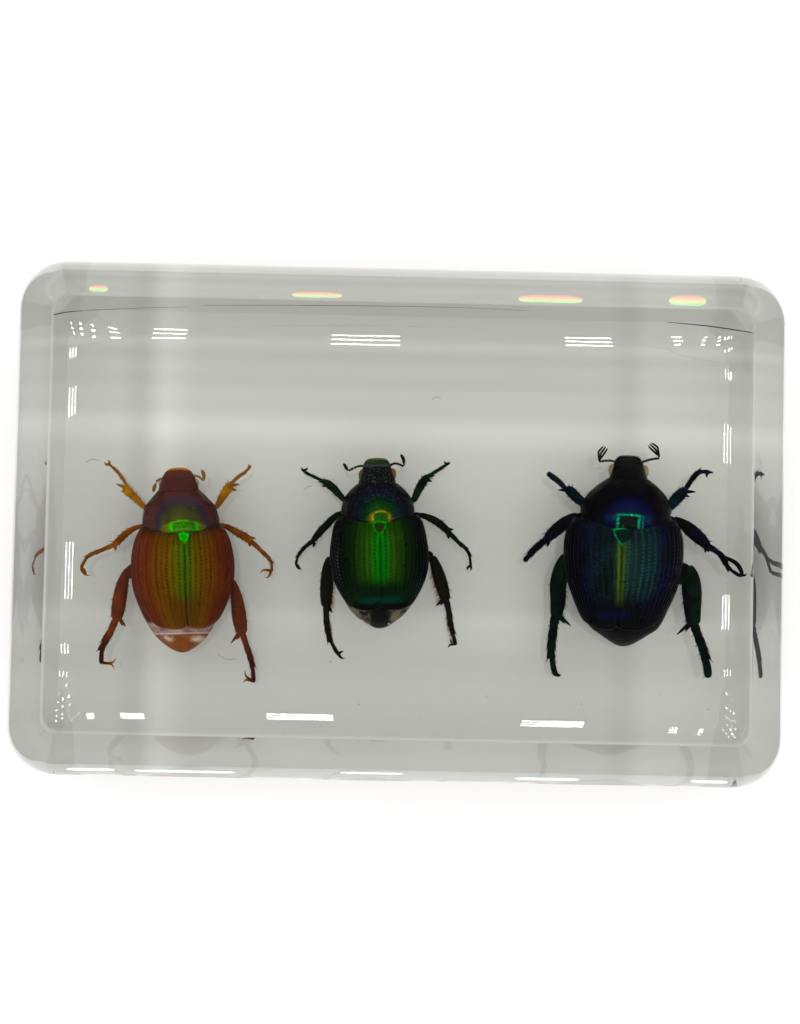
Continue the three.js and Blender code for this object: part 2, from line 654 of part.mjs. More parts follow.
const part = new THREE.Group();
part.name = 'insect_in_resin_block';
part.add(mesh('resin_lower', lowerHalf().subtract(pockets), resinLook()));
part.add(mesh('resin_upper', upperHalf().subtract(pockets), resinLook()));
part.add(mesh('amber_chafer', insect(amber), shellLook(amber.colour)));
part.add(mesh('green_chafer', insect(green), shellLook(green.colour)));
part.add(mesh('blue_chafer', insect(blue), shellLook(blue.colour)));

export default part;
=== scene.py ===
import bmesh
import bpy
import json
import math
import random
from mathutils import Matrix, Vector

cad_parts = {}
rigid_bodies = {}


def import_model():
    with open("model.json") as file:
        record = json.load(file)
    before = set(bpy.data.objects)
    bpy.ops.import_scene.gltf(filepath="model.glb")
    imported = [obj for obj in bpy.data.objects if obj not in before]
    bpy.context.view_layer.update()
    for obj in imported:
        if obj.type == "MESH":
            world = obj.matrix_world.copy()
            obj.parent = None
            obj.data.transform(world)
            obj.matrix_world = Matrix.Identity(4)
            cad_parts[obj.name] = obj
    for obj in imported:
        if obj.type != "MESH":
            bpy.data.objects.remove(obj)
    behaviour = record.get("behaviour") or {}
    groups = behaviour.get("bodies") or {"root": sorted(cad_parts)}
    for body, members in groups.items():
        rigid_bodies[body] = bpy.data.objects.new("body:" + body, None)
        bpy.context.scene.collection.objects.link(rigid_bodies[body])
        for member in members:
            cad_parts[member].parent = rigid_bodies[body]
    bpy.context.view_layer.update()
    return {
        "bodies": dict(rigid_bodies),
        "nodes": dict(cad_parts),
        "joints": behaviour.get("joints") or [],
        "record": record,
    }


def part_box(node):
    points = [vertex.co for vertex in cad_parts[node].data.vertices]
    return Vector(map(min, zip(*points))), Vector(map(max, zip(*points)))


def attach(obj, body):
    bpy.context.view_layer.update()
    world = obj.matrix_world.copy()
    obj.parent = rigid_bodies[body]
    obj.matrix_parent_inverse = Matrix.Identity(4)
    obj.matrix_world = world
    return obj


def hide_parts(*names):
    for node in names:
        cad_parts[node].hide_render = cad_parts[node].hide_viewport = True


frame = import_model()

mm = 0.001

# The block: one casting of clear resin, poured in two layers round the beetles and then polished.
# It has a crisp rim with a sloped facet outside it, rounded sides and a broad chamfer underneath.
# The top face swells a little, because resin shrinks as it cures.
block_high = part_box("resin_upper")[1]
widest_height = 12.1 * mm
upper_side_radius = 12.6 * mm
lower_side_radius = 46.0 * mm
rim_height = 23.5 * mm
rim_inset = 5.3 * mm
crease_height = 20.2 * mm
crease_inset = 2.95 * mm
shoulder_height = 3.2 * mm
shoulder_radius = 2.2 * mm
chamfer_slope = math.radians(34)
foot_height = 0.19 * mm
foot_inset = 4.18 * mm
base_inset = 4.34 * mm
outer_corner = 5.7 * mm
crease_corner = 3.7 * mm
rim_corner = 1.7 * mm
rim_softness = 0.1 * mm
swell_reach = 7.5 * mm
swell_corner = 6.0 * mm
swell_power = 2.3
corner_steps = 24
side_steps = 24
shoulder_steps = 8
swell_steps = 20


def side_inset(z):
    radius = upper_side_radius if z > widest_height else lower_side_radius
    return radius - math.sqrt(radius**2 - (z - widest_height) ** 2)


def corner_radius(inset):
    if inset < crease_inset:
        return outer_corner + (crease_corner - outer_corner) * inset / crease_inset
    share = (inset - crease_inset) / (rim_inset - crease_inset)
    return crease_corner + (rim_corner - crease_corner) * share


def block_rings():
    """The rings of the block from its underside to the flat of its top, as (inset, height, corner)."""
    outline = [(base_inset, 0.0), (foot_inset, foot_height)]
    # the shoulder turns from the side's slope to the chamfer's
    side_slope = math.pi / 2 - math.asin((widest_height - shoulder_height) / lower_side_radius)
    middle_inset = side_inset(shoulder_height) + shoulder_radius * math.sin(side_slope)
    middle_height = shoulder_height + shoulder_radius * math.cos(side_slope)
    for step in range(shoulder_steps):
        slope = chamfer_slope + (side_slope - chamfer_slope) * step / shoulder_steps
        inset = middle_inset - shoulder_radius * math.sin(slope)
        outline.append((inset, middle_height - shoulder_radius * math.cos(slope)))
    for step in range(side_steps + 1):
        z = shoulder_height + (crease_height - shoulder_height) * step / side_steps
        outline.append((side_inset(z), z))
    rise = (rim_height - crease_height) / (rim_inset - crease_inset)
    outline.append((rim_inset - rim_softness, rim_height - rim_softness * rise))
    rings = [(inset, z, corner_radius(inset)) for inset, z in outline]
    swell = block_high.z - rim_height
    rings.append((rim_inset + rim_softness * 0.2, rim_height, rim_corner))
    for step in range(1, swell_steps + 1):
        share = step / swell_steps
        height = rim_height + swell * (1 - (1 - share) ** swell_power)
        corner = rim_corner + (swell_corner - rim_corner) * share
        rings.append((rim_inset + swell_reach * share, height, corner))
    return rings


def mesh_object(bm, name, material):
    """The finished mesh as an object at the origin."""
    mesh = bpy.data.meshes.new(name)
    bm.to_mesh(mesh)
    bm.free()
    mesh.materials.append(material)
    made = bpy.data.objects.new(name, mesh)
    bpy.context.collection.objects.link(made)
    return made


def make_piece(bm, name, material, replaced):
    """A smooth piece of the object, riding on the one body."""
    piece = mesh_object(bm, name, material)
    for face in piece.data.polygons:
        face.use_smooth = True
    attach(piece, "root")
    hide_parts(*replaced)
    return piece


def new_material(name, shader_kind="ShaderNodeBsdfPrincipled"):
    """A material with nothing but its shader and its output."""
    material = bpy.data.materials.new(name)
    material.use_nodes = True
    tree = material.node_tree
    tree.nodes.clear()
    output = tree.nodes.new("ShaderNodeOutputMaterial")
    shader = tree.nodes.new(shader_kind)
    tree.links.new(shader.outputs[0], output.inputs["Surface"])
    return material, tree, shader, output


def resin_material():
    material, tree, shader, output = new_material("clear_resin")
    shader.inputs["Base Color"].default_value = (0.97, 0.98, 0.965, 1)
    shader.inputs["Roughness"].default_value = 0.0
    shader.inputs["IOR"].default_value = 1.55
    shader.inputs["Transmission Weight"].default_value = 1.0
    depth = tree.nodes.new("ShaderNodeVolumeAbsorption")
    depth.inputs["Color"].default_value = (0.80, 0.81, 0.70, 1)
    depth.inputs["Density"].default_value = 10.5
    tree.links.new(depth.outputs[0], output.inputs["Volume"])
    # the polish leaves long, very shallow waves
    place = tree.nodes.new("ShaderNodeTexCoord")
    waves = tree.nodes.new("ShaderNodeTexNoise")
    waves.inputs["Scale"].default_value = 45.0
    waves.inputs["Detail"].default_value = 1.0
    polish = tree.nodes.new("ShaderNodeBump")
    polish.inputs["Strength"].default_value = 0.012
    polish.inputs["Distance"].default_value = 1 * mm
    tree.links.new(place.outputs["Object"], waves.inputs["Vector"])
    tree.links.new(waves.outputs["Fac"], polish.inputs["Height"])
    tree.links.new(polish.outputs[0], shader.inputs["Normal"])
    return material


def resin_block():
    """A sphere's rings and quarters, laid on the rings and corners of the block."""
    rings = block_rings()
    quarter_points = corner_steps + 1
    bm = bmesh.new()
    bmesh.ops.create_uvsphere(bm, u_segments=4 * quarter_points, v_segments=len(rings) + 1, radius=1)
    for vert in bm.verts:
        ring = round((1 - math.acos(max(-1, min(1, vert.co.z))) / math.pi) * (len(rings) + 1)) - 1
        if ring < 0 or ring == len(rings):
            vert.co = (0, 0, 0 if ring < 0 else block_high.z)
            continue
        inset, z, radius = rings[ring]
        point = round(math.atan2(vert.co.y, vert.co.x) / (2 * math.pi) * 4 * quarter_points)
        quarter, step = divmod(point % (4 * quarter_points), quarter_points)
        angle = (quarter + step / corner_steps) * math.pi / 2
        x = (block_high.x - inset - radius) * (1 if quarter in (0, 3) else -1)
        y = (block_high.y - inset - radius) * (1 if quarter in (0, 1) else -1)
        vert.co = (x + radius * math.cos(angle), y + radius * math.sin(angle), z)
    bmesh.ops.recalc_face_normals(bm, faces=bm.faces)
    block = make_piece(bm, "resin_block", resin_material(), ["resin_lower", "resin_upper"])
    even = block.modifiers.new("even", "WEIGHTED_NORMAL")
    even.weight = 90
    return block


resin_block()

# The beetles: three leaf chafers, dried with their legs spread and laid in a row on the first
# layer of resin. Each one is described in millimetres about its own middle, head towards +Y,
# then turned a few degrees and set where its node stands.
chafers = {
    "amber": {"place": (-25.3, -4.9), "turn": 2.7}, "green": {"place": (-2.4, -2.4), "turn": 2.3},
    "blue": {"place": (26.4, -2.7), "turn": -0.8},
}
# how far each back leans over to one side, which carries the wing seam with it
lean = {"amber": 0.83, "green": 0.22, "blue": -0.95}
kinds = list(chafers)
# the plan map spans this many millimetres
plan_span = 20
# sealed in resin of nearly its own refractive index, the shell hardly shines at its edges
shell_ior = 1.12
shell_tint = (0.12, 0.12, 0.12, 1)
# how far out the rim of a pit begins and ends, and how softly two sides of a frame meet
pit_rim = (0.05, 0.35)
corner_blend = 0.35


def part_of_chafer(bm, kind, name, material):
    """Sets a part made about the beetle's middle in its place in the block."""
    x, y = chafers[kind]["place"]
    turn = math.radians(chafers[kind]["turn"])
    place = Matrix.Translation((x * mm, y * mm, 0)) @ Matrix.Rotation(turn, 4, "Z") @ Matrix.Scale(mm, 4)
    bmesh.ops.transform(bm, matrix=place, verts=bm.verts)
    return make_piece(bm, f"{kind}_{name}", material, [f"{kind}_chafer"])


def along(rows, share):
    """The row at this share of the way along, on a smooth curve through the rows."""
    spot = min(max(share, 0.0), 1.0) * (len(rows) - 1)
    i = min(int(spot), len(rows) - 2)
    t = spot - i
    a, b, c, d = (rows[min(max(k, 0), len(rows) - 1)] for k in (i - 1, i, i + 1, i + 2))
    return [
        0.5 * (2 * q + (r - p) * t + (2 * p - 5 * q + 4 * r - s) * t * t + (3 * q - p - 3 * r + s) * t**3)
        for p, q, r, s in zip(a, b, c, d)
    ]


def bump_at(value, centre, width):
    """1 at the centre, falling away smoothly over the width."""
    return math.exp(-(((value - centre) / width) ** 2))


def add_plan_map(bm):
    """A map of each place as seen from above, so that markings can follow it."""
    plan = bm.loops.layers.uv.new("plan")
    for face in bm.faces:
        for loop in face.loops:
            loop[plan].uv = (loop.vert.co.x / plan_span + 0.5, loop.vert.co.y / plan_span + 0.5)


def body_form(rows, round_steps, long_steps, relief):
    """A closed form through body rows of [y, half width, widest height, top, underside, bow].

    A sphere whose poles are the first and last row.
    """
    bm = bmesh.new()
    bmesh.ops.create_uvsphere(bm, u_segments=round_steps, v_segments=long_steps, radius=1)
    for vert in bm.verts:
        share = math.acos(max(-1, min(1, vert.co.z))) / math.pi
        angle = math.atan2(vert.co.y, vert.co.x)
        y, half, wide, top, under, bow = along(rows, share)
        half = max(half, 0.001)
        x = half * math.cos(angle)
        rise = top - wide if math.sin(angle) > 0 else wide - under
        y -= bow * (1 - (x / half) ** 2)
        vert.co = relief(Vector((x, y, wide + rise * math.sin(angle))), share, angle, half)
    bmesh.ops.recalc_face_normals(bm, faces=bm.faces)
    add_plan_map(bm)
    return bm


class Number:
    """A number in a shell's node tree, which takes part in plain sums."""

    def __init__(self, shell, socket):
        self.shell, self.socket = shell, socket

    def __add__(self, other):
        return self.shell.value("ADD", self, other)

    def __radd__(self, other):
        return self.shell.value("ADD", other, self)

    def __sub__(self, other):
        return self.shell.value("SUBTRACT", self, other)

    def __rsub__(self, other):
        return self.shell.value("SUBTRACT", other, self)

    def __mul__(self, other):
        return self.shell.value("MULTIPLY", self, other)

    def __truediv__(self, other):
        return self.shell.value("DIVIDE", self, other)

    def __abs__(self):
        return self.shell.value("ABSOLUTE", self)


class Shell:
    """Builds the node tree of one piece of shell, or of a glowing sheet."""

    def __init__(self, name, shader_kind="ShaderNodeBsdfPrincipled"):
        self.material, self.tree, self.shader, _ = new_material(name, shader_kind)

    def node(self, kind, **settings):
        made = self.tree.nodes.new(kind)
        for key, value in settings.items():
            setattr(made, key, value)
        return made

    def join(self, source, target):
        self.tree.links.new(getattr(source, "socket", source), target)

    def feed(self, item, socket):
        """Sets the socket to a plain number or a colour, or joins the item to it."""
        if isinstance(item, (int, float)):
            socket.default_value = item
        elif isinstance(item, tuple):
            socket.default_value = paint(*item)
        else:
            self.join(item, socket)

    def value(self, operation, a, b=0.0):
        made = self.node("ShaderNodeMath", operation=operation)
        for socket, item in zip(made.inputs, (a, b)):
            self.feed(item, socket)
        return Number(self, made.outputs[0])

    def clamp(self, a, low, high):
        """0 below low, 1 above high, smooth between."""
        made = self.node("ShaderNodeMapRange", interpolation_type="SMOOTHSTEP")
        self.join(a, made.inputs["Value"])
        made.inputs["From Min"].default_value = low
        made.inputs["From Max"].default_value = high
        return Number(self, made.outputs["Result"])

    def object_place(self):
        return self.node("ShaderNodeTexCoord").outputs["Object"]

    def split(self, vector):
        made = self.node("ShaderNodeSeparateXYZ")
        self.join(vector, made.inputs[0])
        return [Number(self, socket) for socket in made.outputs]

    def surface_uv(self, name):
        return self.split(self.node("ShaderNodeUVMap", uv_map=name).outputs[0])

    def plan_axes(self):
        """The plan place in millimetres about the beetle's middle."""
        u, v, _ = self.surface_uv("plan")
        return (u - 0.5) * plan_span, (v - 0.5) * plan_span

    def plan_distance(self, centre, radii):
        """How far out a point lies on an oval round a plan place, 1 at its edge."""
        x, y = self.plan_axes()
        dx = (x - centre[0]) / radii[0]
        dy = (y - centre[1]) / radii[1]
        return self.value("SQRT", dx * dx + dy * dy)

    def linear_ramp(self, value, stops, interpolation="EASE"):
        """Linear colours along a value, from stops of (place, colour)."""
        made = self.node("ShaderNodeValToRGB")
        made.color_ramp.interpolation = interpolation
        points = made.color_ramp.elements
        while len(points) < len(stops):
            points.new(0.5)
        for point, (spot, colour) in zip(points, stops):
            point.position = spot
            point.color = (*colour, 1)
        self.join(value, made.inputs[0])
        return made.outputs[0]

    def ramp(self, value, stops):
        """The same from colours given in screen values."""
        return self.linear_ramp(value, [(spot, paint(*colour)[:3]) for spot, colour in stops])

    def mix(self, share, a, b):
        made = self.node("ShaderNodeMix", data_type="RGBA")
        for socket, item in ((made.inputs[0], share), (made.inputs[6], a), (made.inputs[7], b)):
            self.feed(item, socket)
        return made.outputs[2]

    def noise(self, vector, scale, detail=3.0):
        made = self.node("ShaderNodeTexNoise")
        self.join(vector, made.inputs["Vector"])
        made.inputs["Scale"].default_value = scale
        made.inputs["Detail"].default_value = detail
        return Number(self, made.outputs["Fac"])

    def pits(self, spacing, depth):
        """Fine round pits over the shell, as bump."""
        cells = self.node("ShaderNodeTexVoronoi")
        self.join(self.object_place(), cells.inputs["Vector"])
        cells.inputs["Scale"].default_value = 1 / (spacing * mm)
        rim = self.clamp(cells.outputs["Distance"], *pit_rim)
        bump = self.node("ShaderNodeBump")
        bump.inputs["Strength"].default_value = 1.0
        bump.inputs["Distance"].default_value = depth * mm
        self.join(rim, bump.inputs["Height"])
        self.join(bump.outputs[0], self.shader.inputs["Normal"])
        return rim

    def dents(self, depth_map, depth):
        """Dents where the map is 1, on top of the pits."""
        fine = self.shader.inputs["Normal"].links[0].from_socket
        bump = self.node("ShaderNodeBump", invert=True)
        bump.inputs["Strength"].default_value = 1.0
        bump.inputs["Distance"].default_value = depth * mm
        self.join(depth_map, bump.inputs["Height"])
        self.join(fine, bump.inputs["Normal"])
        self.join(bump.outputs[0], self.shader.inputs["Normal"])

    def frame_distance(self, centre, halves, bend):
        """1 along a rectangle in plan, less inside it and more outside; its ends bend back."""
        x, y = self.plan_axes()
        off = x - centre[0]
        rise = y - centre[1] + off * off * bend
        made = self.node("ShaderNodeMath", operation="SMOOTH_MAX")
        self.join(abs(off / halves[0]), made.inputs[0])
        self.join(abs(rise / halves[1]), made.inputs[1])
        made.inputs[2].default_value = corner_blend
        return Number(self, made.outputs[0])

    def inside(self, distance, edge, softness):
        """1 well inside an edge, 0 well outside."""
        return 1.0 - self.clamp(distance, edge - softness, edge + softness)

    def along_line(self, distance, edge, width):
        """1 on the line where the distance is edge, fading to 0 over the width."""
        return self.inside(abs(distance - edge), width / 2, width / 2)

    def finish(self, colour, metal, roughness, coat=0.0):
        for socket, item in (("Base Color", colour), ("Metallic", metal), ("Roughness", roughness)):
            self.feed(item, self.shader.inputs[socket])
        self.shader.inputs["Coat Weight"].default_value = coat
        self.shader.inputs["IOR"].default_value = shell_ior
        self.shader.inputs["Specular Tint"].default_value = shell_tint
        return self.material


def paint(red, green, blue):
    """A colour given in screen values up to 255, as the linear colour that shaders take."""
    linear = [((c / 255 + 0.055) / 1.055) ** 2.4 if c > 10 else c / 255 / 12.92 for c in (red, green, blue)]
    return (*linear, 1)


# Abdomens: the soft hind body under the wing cases, ringed underneath by the belly plates and
# ending in the bare tail plate that shows behind the wings. The breast is one piece with it.
abdomen_rows = {
    "amber": [[5.3, 0.0, 9.9, 9.9, 9.9, 0], [4.8, 3.6, 9.9, 12.6, 6.6, 0], [2.6, 4.9, 9.8, 13.6, 6.0, 0],
              [0.4, 5.6, 9.8, 14.0, 5.8, 0], [-2.8, 5.6, 9.7, 14.0, 5.8, 0],
              [-5.6, 4.75, 9.5, 13.0, 6.1, 0], [-7.6, 3.75, 9.3, 11.9, 6.7, 0],
              [-8.9, 2.85, 9.1, 11.2, 7.2, 0], [-9.9, 1.75, 8.9, 10.3, 7.7, 0],
              [-10.5, 0.75, 8.7, 9.3, 8.2, 0], [-10.68, 0.0, 8.7, 8.7, 8.7, 0]],
    "green": [[4.6, 0.0, 9.9, 9.9, 9.9, 0], [4.0, 3.4, 9.9, 12.5, 6.7, 0], [1.8, 4.6, 9.8, 13.4, 6.1, 0],
              [-0.4, 5.3, 9.8, 13.8, 5.9, 0], [-3.2, 5.3, 9.7, 13.8, 5.9, 0],
              [-5.8, 4.4, 9.5, 12.8, 6.2, 0], [-7.4, 3.6, 9.3, 11.8, 6.7, 0],
              [-8.4, 2.75, 9.1, 11.1, 7.2, 0], [-9.2, 1.7, 8.9, 10.3, 7.7, 0],
              [-9.75, 0.75, 8.7, 9.3, 8.2, 0], [-9.92, 0.0, 8.7, 8.7, 8.7, 0]],
    "blue": [[5.2, 0.0, 9.9, 9.9, 9.9, 0], [4.6, 4.4, 9.9, 13.2, 6.5, 0], [2.2, 5.9, 9.8, 14.2, 5.8, 0],
             [-0.4, 6.6, 9.8, 14.6, 5.6, 0], [-3.8, 6.2, 9.7, 14.4, 5.6, 0],
             [-6.8, 5.05, 9.5, 13.2, 6.0, 0], [-8.8, 4.05, 9.3, 12.0, 6.6, 0],
             [-9.8, 2.75, 9.1, 11.2, 7.2, 0], [-10.6, 1.5, 8.9, 10.2, 7.7, 0],
             [-11.0, 0.7, 8.7, 9.2, 8.2, 0], [-11.12, 0.0, 8.7, 8.7, 8.7, 0]],
}
# where one belly plate meets the next, as shares of the way from breast to tail
plate_seams = (0.42, 0.52, 0.61, 0.69, 0.765, 0.835)
seam_width = 0.008
seam_depth = 0.1
# a keel line runs along the breast
keel_depth, keel_width, keel_end = 0.12, 0.15, 0.4


def belly_relief(place, share, angle, half):
    if math.sin(angle) < 0:
        for seam in plate_seams:
            place.z += seam_depth * bump_at(share, seam, seam_width) * (-math.sin(angle)) ** 0.3
        if share < keel_end:
            place.z += keel_depth * bump_at(place.x, 0, keel_width)
    return place


def abdomen_material(kind):
    shell = Shell(f"{kind}_abdomen")
    x, y = shell.plan_axes()
    cloud = shell.noise(shell.object_place(), 900, 4)
    if kind == "amber":
        seam_y = -8.6
        tail = shell.mix(shell.clamp(cloud, 0.35, 0.7), (122, 66, 26), (140, 78, 36))
        # the tail plate has a painted pale sheen left and right, and a fine dark rim
        out = shell.plan_distance((0.1, -8.3), (3.3, 2.45))
        tail = shell.mix(shell.clamp(out, 0.86, 0.96), tail, (84, 32, 16))
        for spot in ((-1.5, -8.95), (1.9, -9.15)):
            painted_sheen = shell.inside(shell.plan_distance(spot, (1.1, 0.55)), 0.6, 0.5)
            painted_sheen = painted_sheen * shell.clamp(cloud, 0.3, 0.6)
            tail = shell.mix(painted_sheen, tail, (206, 186, 170))
        band = shell.mix(shell.clamp(cloud, 0.3, 0.7), (176, 150, 142), (124, 88, 82))
        behind = shell.clamp(y, seam_y - 0.05, seam_y + 0.1)
        colour = shell.mix(behind, tail, band)
        # under the wings and below, the plates are brown
        line = shell.along_line(y, seam_y + 0.16, 0.1)
        colour = shell.mix(line * 0.7, colour, (220, 206, 196))
        ahead = shell.clamp(y, seam_y + 1.3, seam_y + 1.7)
        colour = shell.mix(ahead, colour, (84, 40, 20))
    elif kind == "green":
        side = shell.clamp(abs(x), 0.9, 1.5)
        pale = side * shell.clamp(cloud, 0.34, 0.56) * shell.clamp(y, -9.9, -9.3)
        colour = shell.mix(pale, (16, 18, 16), (118, 110, 88))
        # painted glints on the tail plate
        for spot in ((-2.0, -8.95), (-1.3, -9.45), (1.05, -9.4), (0.1, -9.95), (0.55, -9.9)):
            glint = shell.inside(shell.plan_distance(spot, (0.2, 0.13)), 0.7, 0.4)
            colour = shell.mix(glint, colour, (196, 192, 176))
    else:
        colour = shell.mix(cloud, (12, 12, 16), (20, 19, 24))
    shell.pits(0.22, 0.02)
    return shell.finish(colour, 0.05, 0.32)


for kind in kinds:
    form = body_form(abdomen_rows[kind], 72, 220, belly_relief)
    part_of_chafer(form, kind, "abdomen", abdomen_material(kind))

# Wing cases: a pair of hard domed shells that meet in a seam down the back. Rows of pits run
# along them in shallow furrows, and a knob stands out at each shoulder.
wing_rows = {
    "amber": [[4.15, 4.5, 10.3, 14.2, 0.95], [3.1, 5.2, 10.2, 14.8, 0.5], [1.7, 5.7, 10.1, 15.2, 0.1],
              [-0.5, 6.0, 10.0, 15.4, 0], [-2.6, 5.85, 9.9, 15.2, 0], [-4.6, 5.25, 9.8, 14.6, 0],
              [-6.3, 4.45, 9.6, 13.6, 0], [-7.4, 3.7, 9.5, 12.6, 0], [-7.95, 3.0, 9.4, 11.7, 0.2]],
    "green": [[3.15, 4.6, 10.3, 14.0, 0.7], [2.3, 5.15, 10.2, 14.6, 0.4], [0.8, 5.5, 10.1, 15.0, 0.05],
              [-1.2, 5.75, 10.0, 15.1, 0], [-3.1, 5.65, 9.9, 14.9, 0], [-5.0, 5.05, 9.8, 14.3, 0],
              [-6.5, 4.2, 9.6, 13.2, 0], [-7.4, 3.6, 9.5, 12.4, 0], [-7.8, 3.1, 9.4, 11.8, 0.1]],
    "blue": [[3.75, 5.9, 10.3, 14.8, 1.15], [2.5, 6.6, 10.2, 15.4, 0.6], [0.8, 6.95, 10.1, 15.9, 0.1],
             [-1.6, 6.9, 10.0, 16.0, 0], [-3.6, 6.5, 9.9, 15.7, 0], [-5.6, 5.75, 9.8, 15.0, 0],
             [-7.4, 4.95, 9.6, 13.8, 0], [-8.6, 4.2, 9.5, 12.7, 0], [-9.2, 3.3, 9.4, 11.9, 0.2]],
}
wing_steps_across = 170
wing_steps_along = 90
wing_tuck = 0.22
furrows = 16
furrow_depth = 0.05
furrow_width = 0.15
pit_spacing = 0.31
pit_depth = 0.05
# the knobs at shoulder and tail: rise, place and width across, place and width along
knobs = [(0.28, 0.62, 0.1, 0.1, 0.07), (0.16, 0.5, 0.12, 0.87, 0.06)]
# the seam's edge is a fine raised bead that turns down sharply; rows are (rise, place, width)
seam_bead = [(0.04, 0.03, 0.015), (-0.09, 0, 0.007)]
tail_drop = (-0.35, 1, 0.02)
wing_edge = 0.1
# the share of the lean that the whole back takes, and how the side draws in under the body
body_share = 0.35
tuck_pull = 0.9
# each wing ends in its own curve from this share of its length on, with a notch at the seam
curve_start = 0.75
curve_middle = 0.4
notch = 0.3


def wing_form(kind, side):
    """A grid bent over the back: across it runs from the seam to the side, along it to the tail."""
    rows = wing_rows[kind]
    hand = 1 if side == "right" else -1
    bm = bmesh.new()
    bmesh.ops.create_grid(bm, x_segments=wing_steps_across, y_segments=wing_steps_along, size=0.5)
    uv = bm.loops.layers.uv.new("wing")
    for face in bm.faces:
        for loop in face.loops:
            loop[uv].uv = (loop.vert.co.x + 0.5, loop.vert.co.y + 0.5)
    for vert in bm.verts:
        across, down = vert.co.x + 0.5, vert.co.y + 0.5
        y, half, wide, top, bow = along(rows, down)
        # past the side the shell tucks under
        seam_angle = math.acos((hand * lean[kind] * (1 - body_share)) / half)
        angle = seam_angle - across * (seam_angle + wing_tuck)
        x = half * math.cos(angle)
        rise = (top - wide) * math.sin(angle)
        if angle < 0:
            x -= tuck_pull * (half - x)
        out = Vector((math.cos(angle) / half, 0, math.sin(angle) / (top - wide))).normalized()
        row = across * furrows
        strong = 1.0 if round(row) % 2 else 0.6
        fade = math.sin(math.pi * min(1, max(0, down * 1.02))) ** 0.35
        lift = -furrow_depth * bump_at(row, round(row), furrow_width) * fade * strong * min(1, 8 * across)
        for knob, across_place, across_width, down_place, down_width in knobs:
            knob *= bump_at(across, across_place, across_width)
            lift += knob * bump_at(down, down_place, down_width)
        for bead, bead_place, bead_width in seam_bead:
            lift += bead * bump_at(across, bead_place, bead_width)
        lift += tail_drop[0] * bump_at(down, *tail_drop[1:])
        end = max(0, (down - curve_start) / (1 - curve_start)) ** 2
        curve = (1.3 if across < curve_middle else 3.2) * (across - curve_middle) ** 2
        y += end * (curve + notch * max(0, 1 - across / 0.1))
        place = Vector((x, y - bow * (1 - (x / half) ** 2), wide + rise)) + out * lift
        vert.co = (hand * place.x + body_share * lean[kind], place.y, place.z)
    bmesh.ops.recalc_face_normals(bm, faces=bm.faces)
    if sum(face.normal.z for face in bm.faces) < 0:
        bmesh.ops.reverse_faces(bm, faces=bm.faces)
    bmesh.ops.solidify(bm, geom=bm.faces[:], thickness=wing_edge)
    return bm


